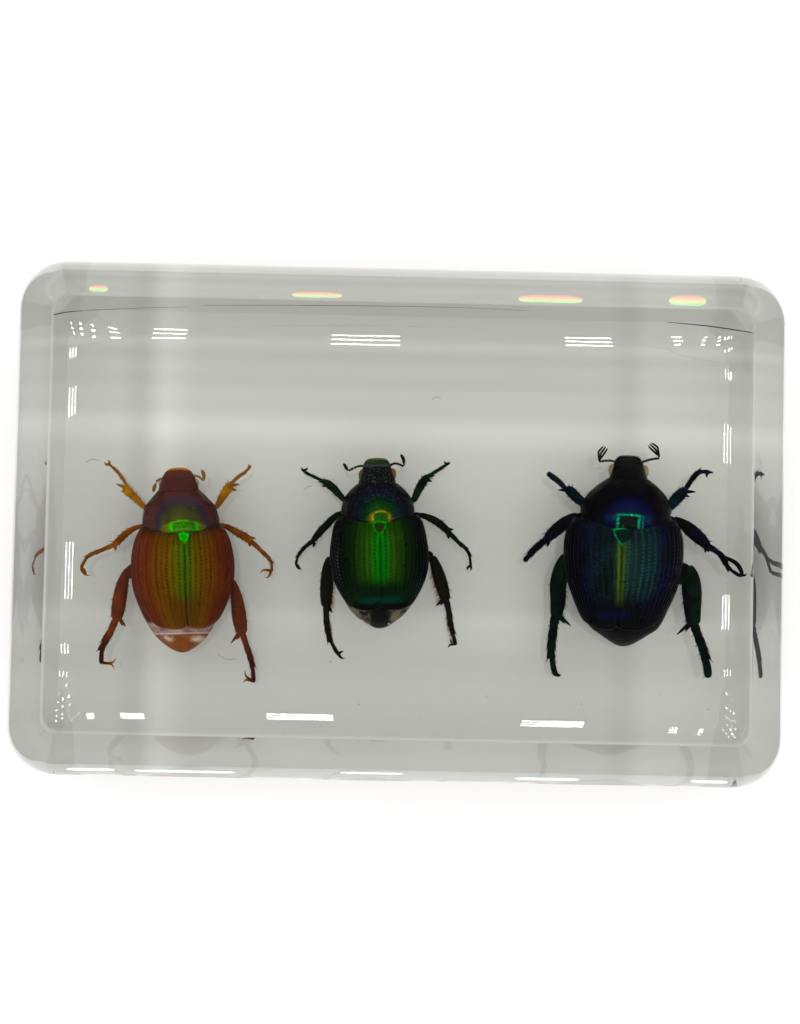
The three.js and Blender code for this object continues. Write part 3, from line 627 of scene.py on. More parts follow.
def wing_material(kind):
    shell = Shell(f"{kind}_wing")
    across, down, _ = shell.surface_uv("wing")
    place = shell.object_place()
    blotch = shell.noise(place, 420, 3)
    streak = shell.node("ShaderNodeMapping")
    streak.inputs["Scale"].default_value = (14, 1.1, 1)
    shell.join(shell.node("ShaderNodeUVMap", uv_map="wing").outputs[0], streak.inputs["Vector"])
    streaks = shell.noise(streak.outputs[0], 3.0, 4)
    wander = across + (streaks - 0.5) * 0.14
    middle = shell.clamp(down, 0.05, 0.3) * (1.0 - shell.clamp(down, 0.72, 0.9))
    # across each wing the colour runs from bright by the seam to dark at the side: partly the shell's own
    # colour, partly a painted reflection of the light from above
    if kind == "amber":
        colour = shell.ramp(wander, [
            (0.0, (78, 92, 2)), (0.08, (96, 88, 2)), (0.2, (114, 80, 2)), (0.32, (122, 68, 6)),
            (0.44, (114, 50, 14)), (0.62, (116, 46, 26)), (1.0, (92, 34, 18)),
        ])
        below = shell.clamp(down, 0.55, 0.68)
        # a painted highlight in streaks down the middle of the wing, by the seam
        painted_highlight = (1.0 - shell.clamp(wander, 0.02, 0.12)) * middle
        painted_highlight = painted_highlight * shell.clamp(streaks, 0.36, 0.58) * (1.0 - below)
        brown_share = below * shell.inside(wander, 0.22, 0.08)
        colour = shell.mix(brown_share, colour, (102, 64, 8))
        colour = shell.mix(painted_highlight * 0.8, colour, (40, 118, 2))
        # painted shade across the front of the wing, where the shield's back edge overhangs it
        colour = shell.mix(1.0 - shell.clamp(down, 0.0, 0.16), colour, (48, 36, 14))
        colour = shell.mix(shell.clamp(down, 0.9, 0.98), colour, (156, 88, 10))
        dots_colour = (44, 22, 6)
        metal = 0.35
    elif kind == "green":
        colour = shell.ramp(wander, [
            (0.0, (4, 92, 2)), (0.07, (14, 88, 2)), (0.12, (40, 84, 2)), (0.25, (32, 72, 2)),
            (0.32, (12, 44, 8)), (0.44, (9, 26, 12)), (0.54, (10, 10, 16)),
        ])
        # a painted highlight down the middle of the wing, by the seam
        painted_highlight = (1.0 - shell.clamp(wander, 0.04, 0.12)) * middle
        colour = shell.mix(painted_highlight * shell.clamp(streaks, 0.3, 0.55), colour, (2, 126, 2))
        colour = shell.mix(shell.clamp(down, 0.55, 0.66), colour, (7, 34, 12))
        side = 1.0 - shell.clamp(wander, 0.3, 0.46)
        tail = shell.clamp(down, 0.7, 0.76) * side
        colour = shell.mix(tail, colour, (2, 58, 46))
        colour = shell.mix(shell.clamp(down, 0.8, 0.84), colour, (10, 10, 14))
        dots_colour = (6, 20, 6)
        metal = 0.55
    else:
        colour = shell.ramp(wander, [
            (0.0, (34, 56, 16)), (0.06, (16, 40, 34)), (0.2, (12, 38, 48)), (0.33, (12, 30, 54)),
            (0.45, (14, 12, 52)), (0.56, (10, 9, 20)),
        ])
        patchy = shell.clamp(shell.noise(place, 420, 4), 0.4, 0.62)
        speckle = shell.clamp(shell.noise(place, 2600, 2), 0.4, 0.6)
        colour = shell.mix(shell.value("MAXIMUM", patchy, speckle * 0.7), colour, (9, 10, 18))
        # a painted highlight down the middle of the wing, stronger on the left
        painted_highlight = (1.0 - shell.clamp(wander, 0.0, 0.08)) * middle
        leftward = shell.split(place)[0] * (-1.0)
        left_share = 0.35 + shell.clamp(leftward, -25.9 * mm, -25.4 * mm) * 0.65
        colour = shell.mix(painted_highlight * left_share, colour, (74, 96, 2))
        colour = shell.mix(shell.clamp(down, 0.6, 0.72), colour, (9, 9, 22))
        low_patch = shell.clamp(down, 0.7, 0.76) * shell.inside(wander, 0.3, 0.1)
        low_patch = low_patch * shell.clamp(blotch, 0.4, 0.62)
        colour = shell.mix(low_patch, colour, (13, 13, 54))
        colour = shell.mix(shell.clamp(down, 0.79, 0.84), colour, (9, 8, 11))
        shine = shell.inside(wander, 0.34, 0.08) * shell.inside(down, 0.62, 0.06)
        rightward = shell.clamp(shell.split(place)[0], 24.6 * mm, 26.2 * mm)
        shine = shine * (0.25 + rightward * 0.75)
        dots_colour = shell.mix(shine, (8, 12, 18), (40, 84, 78))
        metal = 0.5
    # rows of dark pits follow the furrows
    waver = shell.noise(place, 900, 2) - 0.5
    row = (across + waver * 0.02) * float(furrows)
    furrow = shell.value("ROUND", row)
    odd = shell.value("MODULO", furrow, 2.0)
    rows = wing_rows[kind]
    turns = (rows[0][0] - rows[-1][0]) / pit_spacing
    dot = shell.value("COSINE", down * (2 * math.pi * turns) + furrow * 2.1)
    near_row = 1.0 - shell.clamp(abs(row - furrow), 0.08, 0.3)
    in_pit = near_row * shell.clamp(dot, -0.5, 0.6)
    uneven = shell.clamp(streaks, 0.3, 0.62)
    dark = shell.value("MAXIMUM", in_pit, near_row * 0.35) * 0.85
    dark = dark * (0.3 + uneven * 0.7) * (0.5 + odd * 0.5)
    colour = shell.mix(dark, colour, dots_colour)
    colour = shell.mix(blotch * 0.3, colour, dots_colour)
    if kind == "green":
        # painted glints: rows of pits catch the light down the left side
        far_left = shell.clamp(shell.split(place)[0] * (-1.0), 6.3 * mm, 6.9 * mm)
        window = shell.inside(across, 0.6, 0.08) * shell.clamp(across, 0.38, 0.46)
        window = window * (shell.inside(down, 0.75, 0.06) * shell.clamp(down, 0.3, 0.4))
        painted_pit_glints = in_pit * shell.clamp(streaks, 0.4, 0.6) * far_left
        colour = shell.mix(painted_pit_glints * window, colour, (120, 124, 118))
    shell.pits(0.14, 0.012)
    shell.dents(in_pit, pit_depth)
    return shell.finish(colour, metal, 0.2 + blotch * 0.2)


for kind in kinds:
    look = wing_material(kind)
    for side in ("left", "right"):
        part_of_chafer(wing_form(kind, side), kind, f"wing_{side}", look)

# Scutellum: the small shield-shaped plate let in where the two wing cases meet at the front.
# It is the same hard shell as they are, dark in the middle, with a bright painted reflection round its rim.
scutellum_shape = {
    "amber": {"centre": (0.75, 2.4), "half": 0.78, "length": 1.6, "top": 15.0},
    "green": {"centre": (0.15, 1.65), "half": 1.12, "length": 2.0, "top": 14.86},
    "blue": {"centre": (-0.9, 1.6), "half": 1.3, "length": 2.2, "top": 15.82},
}


plate_insets = (0.12, 0.25, 0.3)
plate_depth = 0.5


def scutellum_form(kind):
    """A disc bent into a rounded triangle, with its point to the tail."""
    shape = scutellum_shape[kind]
    bm = bmesh.new()
    bmesh.ops.create_circle(bm, cap_ends=True, radius=1, segments=72)
    for inset in plate_insets:
        middle = [face for face in bm.faces if len(face.verts) > 4]
        bmesh.ops.inset_individual(bm, faces=middle, thickness=inset, depth=0)
    rings = bm.loops.layers.uv.new("rings")
    for face in bm.faces:
        for loop in face.loops:
            loop[rings].uv = (loop.vert.co.length, 0)
    cx, cy = shape["centre"]
    for vert in bm.verts:
        angle = math.atan2(vert.co.y, vert.co.x)
        reach = vert.co.length
        third = 2 * math.pi / 3
        folded = (angle + math.pi / 2 + third / 2) % third - third / 2
        edge = 0.5 / math.cos(abs(folded) - third / 2) if abs(folded) < third / 2 else 1.0
        edge = 0.65 * min(edge, 0.93) + 0.25
        x = cx + reach * edge * math.cos(angle) * shape["half"] / 0.82
        y = cy + (reach * edge * math.sin(angle) - 0.2) * shape["length"] / 1.45 + 0.3
        z = shape["top"] + (0.1 if reach < 0.95 else 0.0) - 0.05 * ((x - cx) / shape["half"]) ** 2
        vert.co = Vector((x, y, z))
    bmesh.ops.recalc_face_normals(bm, faces=bm.faces)
    for face in bm.faces[:]:
        if face.normal.z < 0:
            face.normal_flip()
    outer = bmesh.ops.extrude_face_region(bm, geom=bm.faces[:])
    sunk = [item for item in outer["geom"] if isinstance(item, bmesh.types.BMVert)]
    bmesh.ops.translate(bm, verts=sunk, vec=(0, 0, -plate_depth))
    bmesh.ops.recalc_face_normals(bm, faces=bm.faces)
    add_plan_map(bm)
    return bm


def scutellum_material(kind):
    shell = Shell(f"{kind}_scutellum")
    # the rim colour is a painted reflection
    inner, rim = {
        "amber": ((18, 104, 8), (6, 190, 8)), "green": ((26, 36, 2), (4, 140, 4)),
        "blue": ((5, 26, 22), (4, 140, 92)),
    }[kind]
    out = shell.surface_uv("rings")[0]
    grain = shell.clamp(shell.noise(shell.object_place(), 3200, 2), 0.36, 0.56)
    painted_rim_reflection_span = {"amber": (0.2, 0.7), "green": (0.55, 0.8), "blue": (0.7, 0.85)}[kind]
    edge = shell.clamp(out, *painted_rim_reflection_span) * (0.3 + grain * 0.7)
    # on the blue one the painted reflection stays on the left of the rim
    if kind == "blue":
        x, _ = shell.plan_axes()
        edge = edge * (1.0 - shell.clamp(x, -0.9, -0.3))
    colour = shell.mix(edge, inner, rim)
    shell.pits(0.16, 0.012)
    return shell.finish(colour, 0.6, 0.22)


for kind in kinds:
    part_of_chafer(scutellum_form(kind), kind, "scutellum", scutellum_material(kind))

# Shields: the broad plate over the front of the body, behind the head. It is glossy, finely
# pitted, and bordered by a raised bead at the sides and back.
shield_rows = {
    "amber": [[8.45, 0.0, 9.9, 9.9, 9.9, 0], [8.2, 2.1, 9.9, 12.0, 7.9, 0.15],
              [7.9, 2.55, 9.9, 12.35, 7.6, 0.1], [7.1, 3.3, 10.0, 13.15, 7.3, 0],
              [6.2, 4.02, 10.0, 13.9, 6.9, 0.1], [5.1, 4.32, 10.0, 14.5, 6.5, 0.5],
              [4.25, 4.42, 10.0, 14.72, 6.3, 0.95], [4.0, 4.36, 10.0, 14.62, 6.3, 1.05],
              [3.95, 3.9, 10.0, 14.1, 6.6, 1.05], [4.0, 0.0, 10.0, 10.0, 10.0, 0]],
    "green": [[7.2, 0.0, 9.9, 9.9, 9.9, 0], [6.95, 2.0, 9.9, 11.9, 7.9, 0.1],
              [6.7, 2.5, 9.9, 12.3, 7.6, 0.05], [6.0, 3.25, 10.0, 13.0, 7.3, 0],
              [5.2, 3.8, 10.0, 13.7, 7.0, 0.1], [4.2, 4.15, 10.0, 14.2, 6.6, 0.4],
              [3.4, 4.22, 10.0, 14.5, 6.4, 0.85], [3.15, 4.16, 10.0, 14.4, 6.4, 0.9],
              [3.1, 3.7, 10.0, 13.9, 6.7, 0.9], [3.15, 0.0, 10.0, 10.0, 10.0, 0]],
    "blue": [[8.7, 0.0, 9.9, 9.9, 9.9, 0], [8.4, 2.1, 9.9, 12.4, 7.7, 0.1],
             [8.1, 2.7, 9.9, 12.9, 7.4, 0.05], [7.4, 3.6, 10.0, 13.7, 7.0, 0],
             [6.4, 4.55, 10.0, 14.5, 6.6, 0.1], [5.0, 5.22, 10.0, 15.1, 6.2, 0.6],
             [4.1, 5.16, 10.0, 15.3, 6.1, 1.3], [3.8, 5.08, 10.0, 15.2, 6.1, 1.4],
             [3.75, 4.6, 10.0, 14.7, 6.4, 1.4], [3.9, 0.0, 10.0, 10.0, 10.0, 0]],
}
# how far each shield slants to one side towards the back, as a share of its length
shield_slant = {"amber": 0.05, "green": 0.0, "blue": -0.05}
# the bead along each side, and how far the underside is lifted at its edge
bead_rise, bead_place, bead_width, bead_span = 0.07, 0.06, 0.05, (0.12, 0.85)
under_lift = 0.35


def shield_relief(place, share, angle, half):
    low = math.sin(angle)
    if bead_span[0] < share < bead_span[1]:
        place.x += math.copysign(bead_rise * bump_at(low, bead_place, bead_width), place.x)
    if low < 0:
        place.z += under_lift * (-low) * min(1, abs(place.x) / half)
    return place


def shield_material(kind):
    shell = Shell(f"{kind}_shield")
    # the colour runs from bright in the middle to dark at the sides: partly the shell's own colour, partly
    # a painted reflection of the light from above
    centre, radii, stops = {
        "amber": ((0.25, 3.9), (5.4, 5.7),
                  [(0.0, (80, 90, 24)), (0.34, (74, 74, 34)), (0.53, (60, 48, 62)), (0.63, (82, 46, 48)),
                   (0.8, (88, 48, 38))]),
        "green": ((0.2, 3.2), (4.2, 4.0),
                  [(0.0, (24, 84, 4)), (0.28, (10, 64, 14)), (0.48, (7, 42, 28)), (0.64, (12, 16, 38)),
                   (0.82, (11, 10, 16))]),
        "blue": ((0.1, 3.4), (5.2, 4.6),
                 [(0.0, (8, 34, 34)), (0.26, (8, 26, 52)), (0.44, (14, 14, 62)), (0.62, (11, 9, 26)),
                  (0.78, (9, 8, 11))]),
    }[kind]
    colour = shell.ramp(shell.plan_distance(centre, radii), stops)
    # painted reflections: a small bright frame at the back edge, the ground inside it and a broad band
    # round it, broken up by the pits
    grain = shell.clamp(shell.noise(shell.object_place(), 3200, 2), 0.36, 0.56)

    # paints a reflection over a colour, broken up by the grain
    def glow(share, under, over, strength=1.0):
        broken = share * (0.2 + grain * 0.8)
        return shell.mix(broken * strength, under, over)

    if kind == "amber":
        broad = shell.inside(shell.frame_distance((0.5, 4.0), (2.5, 0.55), 0.1), 0.9, 0.3)
        colour = glow(broad, colour, (124, 134, 2))
        frame = shell.frame_distance((0.54, 3.93), (1.6, 0.52), 0.1)
        colour = glow(shell.inside(frame, 0.95, 0.2), colour, (10, 112, 8))
        colour = glow(shell.along_line(frame, 0.9, 0.2), colour, (2, 196, 4))
    elif kind == "green":
        broad = shell.inside(shell.frame_distance((0.32, 3.1), (1.5, 0.6), 0.3), 0.9, 0.3)
        colour = glow(broad, colour, (110, 104, 2))
        frame = shell.frame_distance((0.34, 2.85), (0.95, 0.66), 0.42)
        colour = shell.mix(shell.inside(frame, 0.85, 0.15), colour, (22, 78, 4))
        colour = glow(shell.along_line(frame, 1.0, 0.24), colour, (164, 142, 2))
    else:
        broad = shell.inside(shell.frame_distance((0.08, 3.85), (2.6, 0.4), 0.06), 0.9, 0.35)
        colour = glow(broad, colour, (8, 62, 74))
        frame = shell.frame_distance((0.06, 3.05), (1.22, 0.9), 0.03)
        colour = shell.mix(shell.inside(frame, 0.9, 0.12), colour, (16, 26, 22))
        colour = glow(shell.along_line(frame, 1.0, 0.2), colour, (4, 176, 118))
        double = shell.frame_distance((0.18, 3.05), (1.55, 0.9), 0.03)
        x, _ = shell.plan_axes()
        right_side = shell.along_line(double, 1.0, 0.12) * shell.clamp(x, 1.1, 1.4)
        colour = glow(right_side, colour, (4, 150, 112))
    above = shell.clamp(shell.split(shell.object_place())[2], 9.3 * mm, 9.9 * mm)
    dull = {"amber": (84, 38, 22), "green": (11, 11, 13), "blue": (9, 8, 11)}[kind]
    colour = shell.mix(above, dull, colour)
    cloud = shell.noise(shell.object_place(), 500, 3)
    if kind == "green":
        # pale specks: painted glints in the pits
        speckle = shell.clamp(shell.noise(shell.object_place(), 4200, 2), 0.56, 0.68)
        colour = shell.mix(speckle * 0.28, colour, (84, 84, 92))
    pits = shell.pits(0.15, 0.02)
    colour = shell.mix((1.0 - pits) * 0.4, colour, (6, 6, 6))
    metal = above * {"amber": 0.45, "green": 0.5, "blue": 0.55}[kind]
    return shell.finish(colour, metal, 0.16 + cloud * 0.16)


for kind in kinds:
    form = body_form(shield_rows[kind], 120, 110, shield_relief)
    for vert in form.verts:
        vert.co.x += shield_slant[kind] * (shield_rows[kind][0][0] - vert.co.y)
    part_of_chafer(form, kind, "shield", shield_material(kind))

# Heads: a blunt capsule of hard, pitted shell, with a raised rim round the lip plate and a fine
# seam behind it. Its neck is hidden, where it slides into the front of the shield.
head_rows = {
    "amber": [[10.8, 0.0, 9.35, 9.35, 9.35, 0], [10.76, 0.6, 9.35, 9.6, 9.0, 0],
              [10.62, 1.1, 9.4, 10.0, 8.8, 0], [10.3, 1.5, 9.45, 10.4, 8.6, 0],
              [9.8, 1.82, 9.5, 10.9, 8.4, 0], [9.2, 2.1, 9.6, 11.3, 8.3, 0],
              [8.4, 2.3, 9.8, 11.8, 8.0, 0], [7.5, 2.2, 9.9, 12.0, 7.8, 0], [7.0, 0.0, 9.9, 9.9, 9.9, 0]],
    "green": [[9.92, 0.0, 9.35, 9.35, 9.35, 0], [9.86, 0.8, 9.35, 9.7, 9.0, 0.05],
              [9.72, 1.15, 9.4, 10.0, 8.8, 0.12], [9.3, 1.5, 9.45, 10.5, 8.5, 0.05],
              [8.7, 1.68, 9.6, 11.0, 8.3, 0], [7.8, 1.95, 9.8, 11.6, 8.0, 0],
              [6.6, 2.1, 9.9, 12.0, 7.8, 0], [6.0, 0.0, 9.9, 9.9, 9.9, 0]],
    "blue": [[11.14, 0.0, 9.35, 9.35, 9.35, 0], [11.08, 0.9, 9.35, 9.7, 9.0, 0.05],
             [10.9, 1.25, 9.4, 10.1, 8.8, 0.1], [10.5, 1.58, 9.45, 10.6, 8.5, 0.05],
             [9.9, 1.8, 9.6, 11.3, 8.3, 0], [9.1, 2.0, 9.8, 12.0, 8.0, 0], [7.9, 2.2, 9.9, 12.4, 7.7, 0],
             [7.3, 0.0, 9.9, 9.9, 9.9, 0]],
}
lip_seam = {"amber": 9.55, "green": 8.98, "blue": 10.1}
seam_cut, seam_cut_width = 0.09, 0.07
lip_rim, lip_rim_width, lip_rim_inset = 0.12, 0.09, 0.12


def head_relief_for(kind):
    front = head_rows[kind][1][0]

    def relief(place, share, angle, half):
        if math.sin(angle) > 0:
            # both lines bend back to the sides
            seam, rim = place.y + 0.06 * place.x**2, place.y + 0.1 * place.x**2
            place.z -= seam_cut * bump_at(seam, lip_seam[kind], seam_cut_width)
            place.z += lip_rim * bump_at(rim, front - lip_rim_inset, lip_rim_width)
        return place

    return relief


def head_material(kind):
    shell = Shell(f"{kind}_head")
    x, y = shell.plan_axes()
    bent = y + x * x * 0.09
    front = head_rows[kind][0][0]
    crown, lip, rim = {
        "amber": ((84, 44, 40), (94, 52, 42), (196, 122, 2)),
        "green": ((18, 19, 22), (16, 52, 10), (78, 78, 8)),
        "blue": ((13, 12, 15), (14, 14, 16), (18, 18, 20)),
    }[kind]
    colour = shell.mix(shell.clamp(y, lip_seam[kind] - 0.1, lip_seam[kind] + 0.15), crown, lip)
    colour = shell.mix(shell.clamp(bent, front - 0.34, front - 0.2), colour, rim)
    if kind == "green":
        line = abs(y - lip_seam[kind])
        colour = shell.mix(1.0 - shell.clamp(line, 0.08, 0.2), colour, (58, 66, 62))
        # pale specks: painted glints in the pits
        speckle = shell.clamp(shell.noise(shell.object_place(), 4200, 2), 0.54, 0.66)
        colour = shell.mix(speckle * 0.4, colour, (92, 96, 98))
    pits = shell.pits(0.15, 0.03)
    colour = shell.mix((1.0 - pits) * 0.5, colour, (8, 6, 6))
    return shell.finish(colour, 0.15, 0.3)


for kind in kinds:
    form = body_form(head_rows[kind], 80, 90, head_relief_for(kind))
    part_of_chafer(form, kind, "head", head_material(kind))

# Eyes: domes of many fine facets, let into the sides of the head. They have dried pale behind
# their clear outer lens.
eye_shape = {
    "amber": {
        "places": [(-1.9, 8.95), (1.94, 8.95)], "size": (0.42, 0.5, 0.5), "colour": (206, 196, 170),
    },
    "green": {
        "places": [(-1.74, 7.85), (1.82, 7.95)], "size": (0.42, 0.72, 0.55), "colour": (138, 100, 34),
    },
    "blue": {
        "places": [(-1.88, 9.3), (1.92, 9.3)], "size": (0.46, 0.74, 0.55), "colour": (200, 172, 122),
    },
}
eye_height = 9.65
facet_spacing = 1 / 14 * mm


def eye_material(kind):
    shell = Shell(f"{kind}_eye")
    cells = shell.node("ShaderNodeTexVoronoi")
    shell.join(shell.object_place(), cells.inputs["Vector"])
    cells.inputs["Scale"].default_value = 1 / facet_spacing
    colour = shell.mix(cells.outputs["Distance"], eye_shape[kind]["colour"], (90, 62, 34))
    return shell.finish(colour, 0.0, 0.25, coat=0.5)


for kind in kinds:
    form = bmesh.new()
    for place in eye_shape[kind]["places"]:
        made = bmesh.ops.create_icosphere(form, subdivisions=4, radius=1)
        bmesh.ops.scale(form, vec=eye_shape[kind]["size"], verts=made["verts"])
        bmesh.ops.translate(form, vec=(*place, eye_height), verts=made["verts"])
    part_of_chafer(form, kind, "eyes", eye_material(kind))

# Feelers: a jointed stalk from in front of each eye, ending in a club of three thin leaves.
# The stalk is a string of short beads of shell, and the leaves spread from their common foot.
feeler_rows = {
    "amber": [
        {
            "stalk": [(-1.6, 9.6), (-2.2, 9.5), (-2.6, 9.25)],
            "club": [(-2.62, 9.15), (-2.85, 8.6), (-3.0, 8.0)], "spread": 0.07,
        },
        {
            "stalk": [(1.5, 9.8), (2.2, 9.75), (2.9, 9.2)],
            "club": [(2.98, 9.15), (2.92, 9.9), (2.68, 10.55)], "spread": 0.07,
        },
    ],
    "green": [
        {
            "stalk": [(-1.4, 8.95), (-2.1, 9.0), (-3.3, 8.5)],
            "club": [(-3.35, 8.45), (-3.6, 8.9), (-3.9, 9.4)], "spread": 0.05,
        },
        {
            "stalk": [(1.5, 9.0), (2.2, 9.25), (3.1, 8.9)],
            "club": [(3.2, 8.9), (3.12, 9.7), (2.8, 10.35)], "spread": 0.06,
        },
    ],
    "blue": [
        {
            "stalk": [(-1.4, 10.3), (-2.2, 10.45), (-3.4, 10.3)],
            "club": [(-3.45, 10.3), (-3.2, 11.3), (-2.65, 12.1)], "spread": 0.25, "leaf": 0.12,
        },
        {
            "stalk": [(1.4, 10.3), (2.4, 10.7), (3.6, 10.95)],
            "club": [(3.68, 11.05), (3.1, 12.0), (2.35, 12.6)], "spread": 0.25, "leaf": 0.12,
        },
    ],
}
feeler_height = 9.1
stalk_rise = 0.3
stalk_beads = 7
first_bead, other_beads = 0.2, 0.15
leaf_half = 0.13


def limb_form(bm, rows, flat=0.8, round_steps=14, long_steps=18, blunt=6):
    """Adds a closed limb through rows of (x, y, z, half width): a sphere drawn out along them."""
    made = bmesh.ops.create_uvsphere(bm, u_segments=round_steps, v_segments=long_steps, radius=1)
    for vert in made["verts"]:
        share = math.acos(max(-1, min(1, vert.co.z))) / math.pi
        angle = math.atan2(vert.co.y, vert.co.x)
        # the middle runs the whole way; the ends round off quickly
        x, y, z, r = along(rows, share)
        ahead = along(rows, min(1, share + 0.02))
        back = along(rows, max(0, share - 0.02))
        way = (Vector(ahead[:3]) - Vector(back[:3])).normalized()
        side = way.cross(Vector((0, 0, 1))).normalized()
        up = side.cross(way)
        r *= (1 - abs(2 * share - 1) ** blunt) ** 0.5
        vert.co = Vector((x, y, z)) + side * (r * math.cos(angle)) + up * (r * flat * math.sin(angle))
    return made["verts"]


def feeler_form(kind):
    bm = bmesh.new()
    for feeler in feeler_rows[kind]:
        rises = (stalk_rise, stalk_rise / 2, 0)
        stalk = [(x, y, feeler_height + rise) for (x, y), rise in zip(feeler["stalk"], rises)]
        for bead in range(stalk_beads):
            start, end = (Vector(along(stalk, (bead + step) / stalk_beads)) for step in (0, 1))
            size = other_beads if bead else first_bead
            rows = [(*start, size * 0.7), (*start.lerp(end, 0.5), size), (*end, size * 1.1)]
            limb_form(bm, rows, 1.0, 10, 8, 8)
        foot, waist, tip = (Vector((x, y, feeler_height)) for x, y in feeler["club"])
        way = (tip - foot).normalized()
        side = way.cross(Vector((0, 0, 1)))
        for leaf in (-1, 0, 1):
            fan = side * leaf * feeler["spread"]
            wide = feeler.get("leaf", leaf_half)
            rows = [
                (*(foot + fan * 0.1), 0.05),
                (*(foot.lerp(waist, 0.6) + fan * 0.8), wide * 0.9),
                (*(waist + fan * 1.3 + Vector((0, 0, 0.03 * leaf))), wide),
                (*(waist.lerp(tip, 0.6) + fan * 1.2), wide * 0.85),
                (*(tip + fan * 0.9 - way * 0.08 * abs(leaf)), 0.05),
            ]
            limb_form(bm, rows, 2.4, 12, 16, 6)
    return bm


def feeler_material(kind):
    shell = Shell(f"{kind}_feeler")
    cloud = shell.noise(shell.object_place(), 1500, 3)
    dark, light = {
        "amber": ((126, 84, 22), (166, 118, 40)), "green": ((18, 18, 14), (30, 30, 22)),
        "blue": ((18, 18, 18), (34, 32, 28)),
    }[kind]
    return shell.finish(shell.mix(cloud, dark, light), 0.0, 0.4)


for kind in kinds:
    part_of_chafer(feeler_form(kind), kind, "feelers", feeler_material(kind))

# Legs: hip, thigh, shin and a foot of five short joints with a pair of claws. The shins widen
# towards the foot and carry teeth, spurs and rows of short spines.
hip_height, knee_height, ankle_height, toe_height = 6.9, 8.7, 7.9, 7.2
tooth_height = 8.1
tooth_size = 0.24
claw_size = 0.18
foot_shares = (0.3, 0.17, 0.14, 0.13, 0.32)
# how wide a foot joint is along its length, against its row's half width
joint_flare = (0.72, 0.92, 1.06, 1.26)
last_flare = (0.75, 0.95, 1.0, 0.8)
claw_bend = 0.22
# short spines along both edges of the shin
spine_shares = (0.34, 0.48, 0.62, 0.76, 0.9)
spine_chance = 0.75
spine_size = 0.055
leg_names = ("front_left", "front_right", "middle_left", "middle_right", "hind_left", "hind_right")
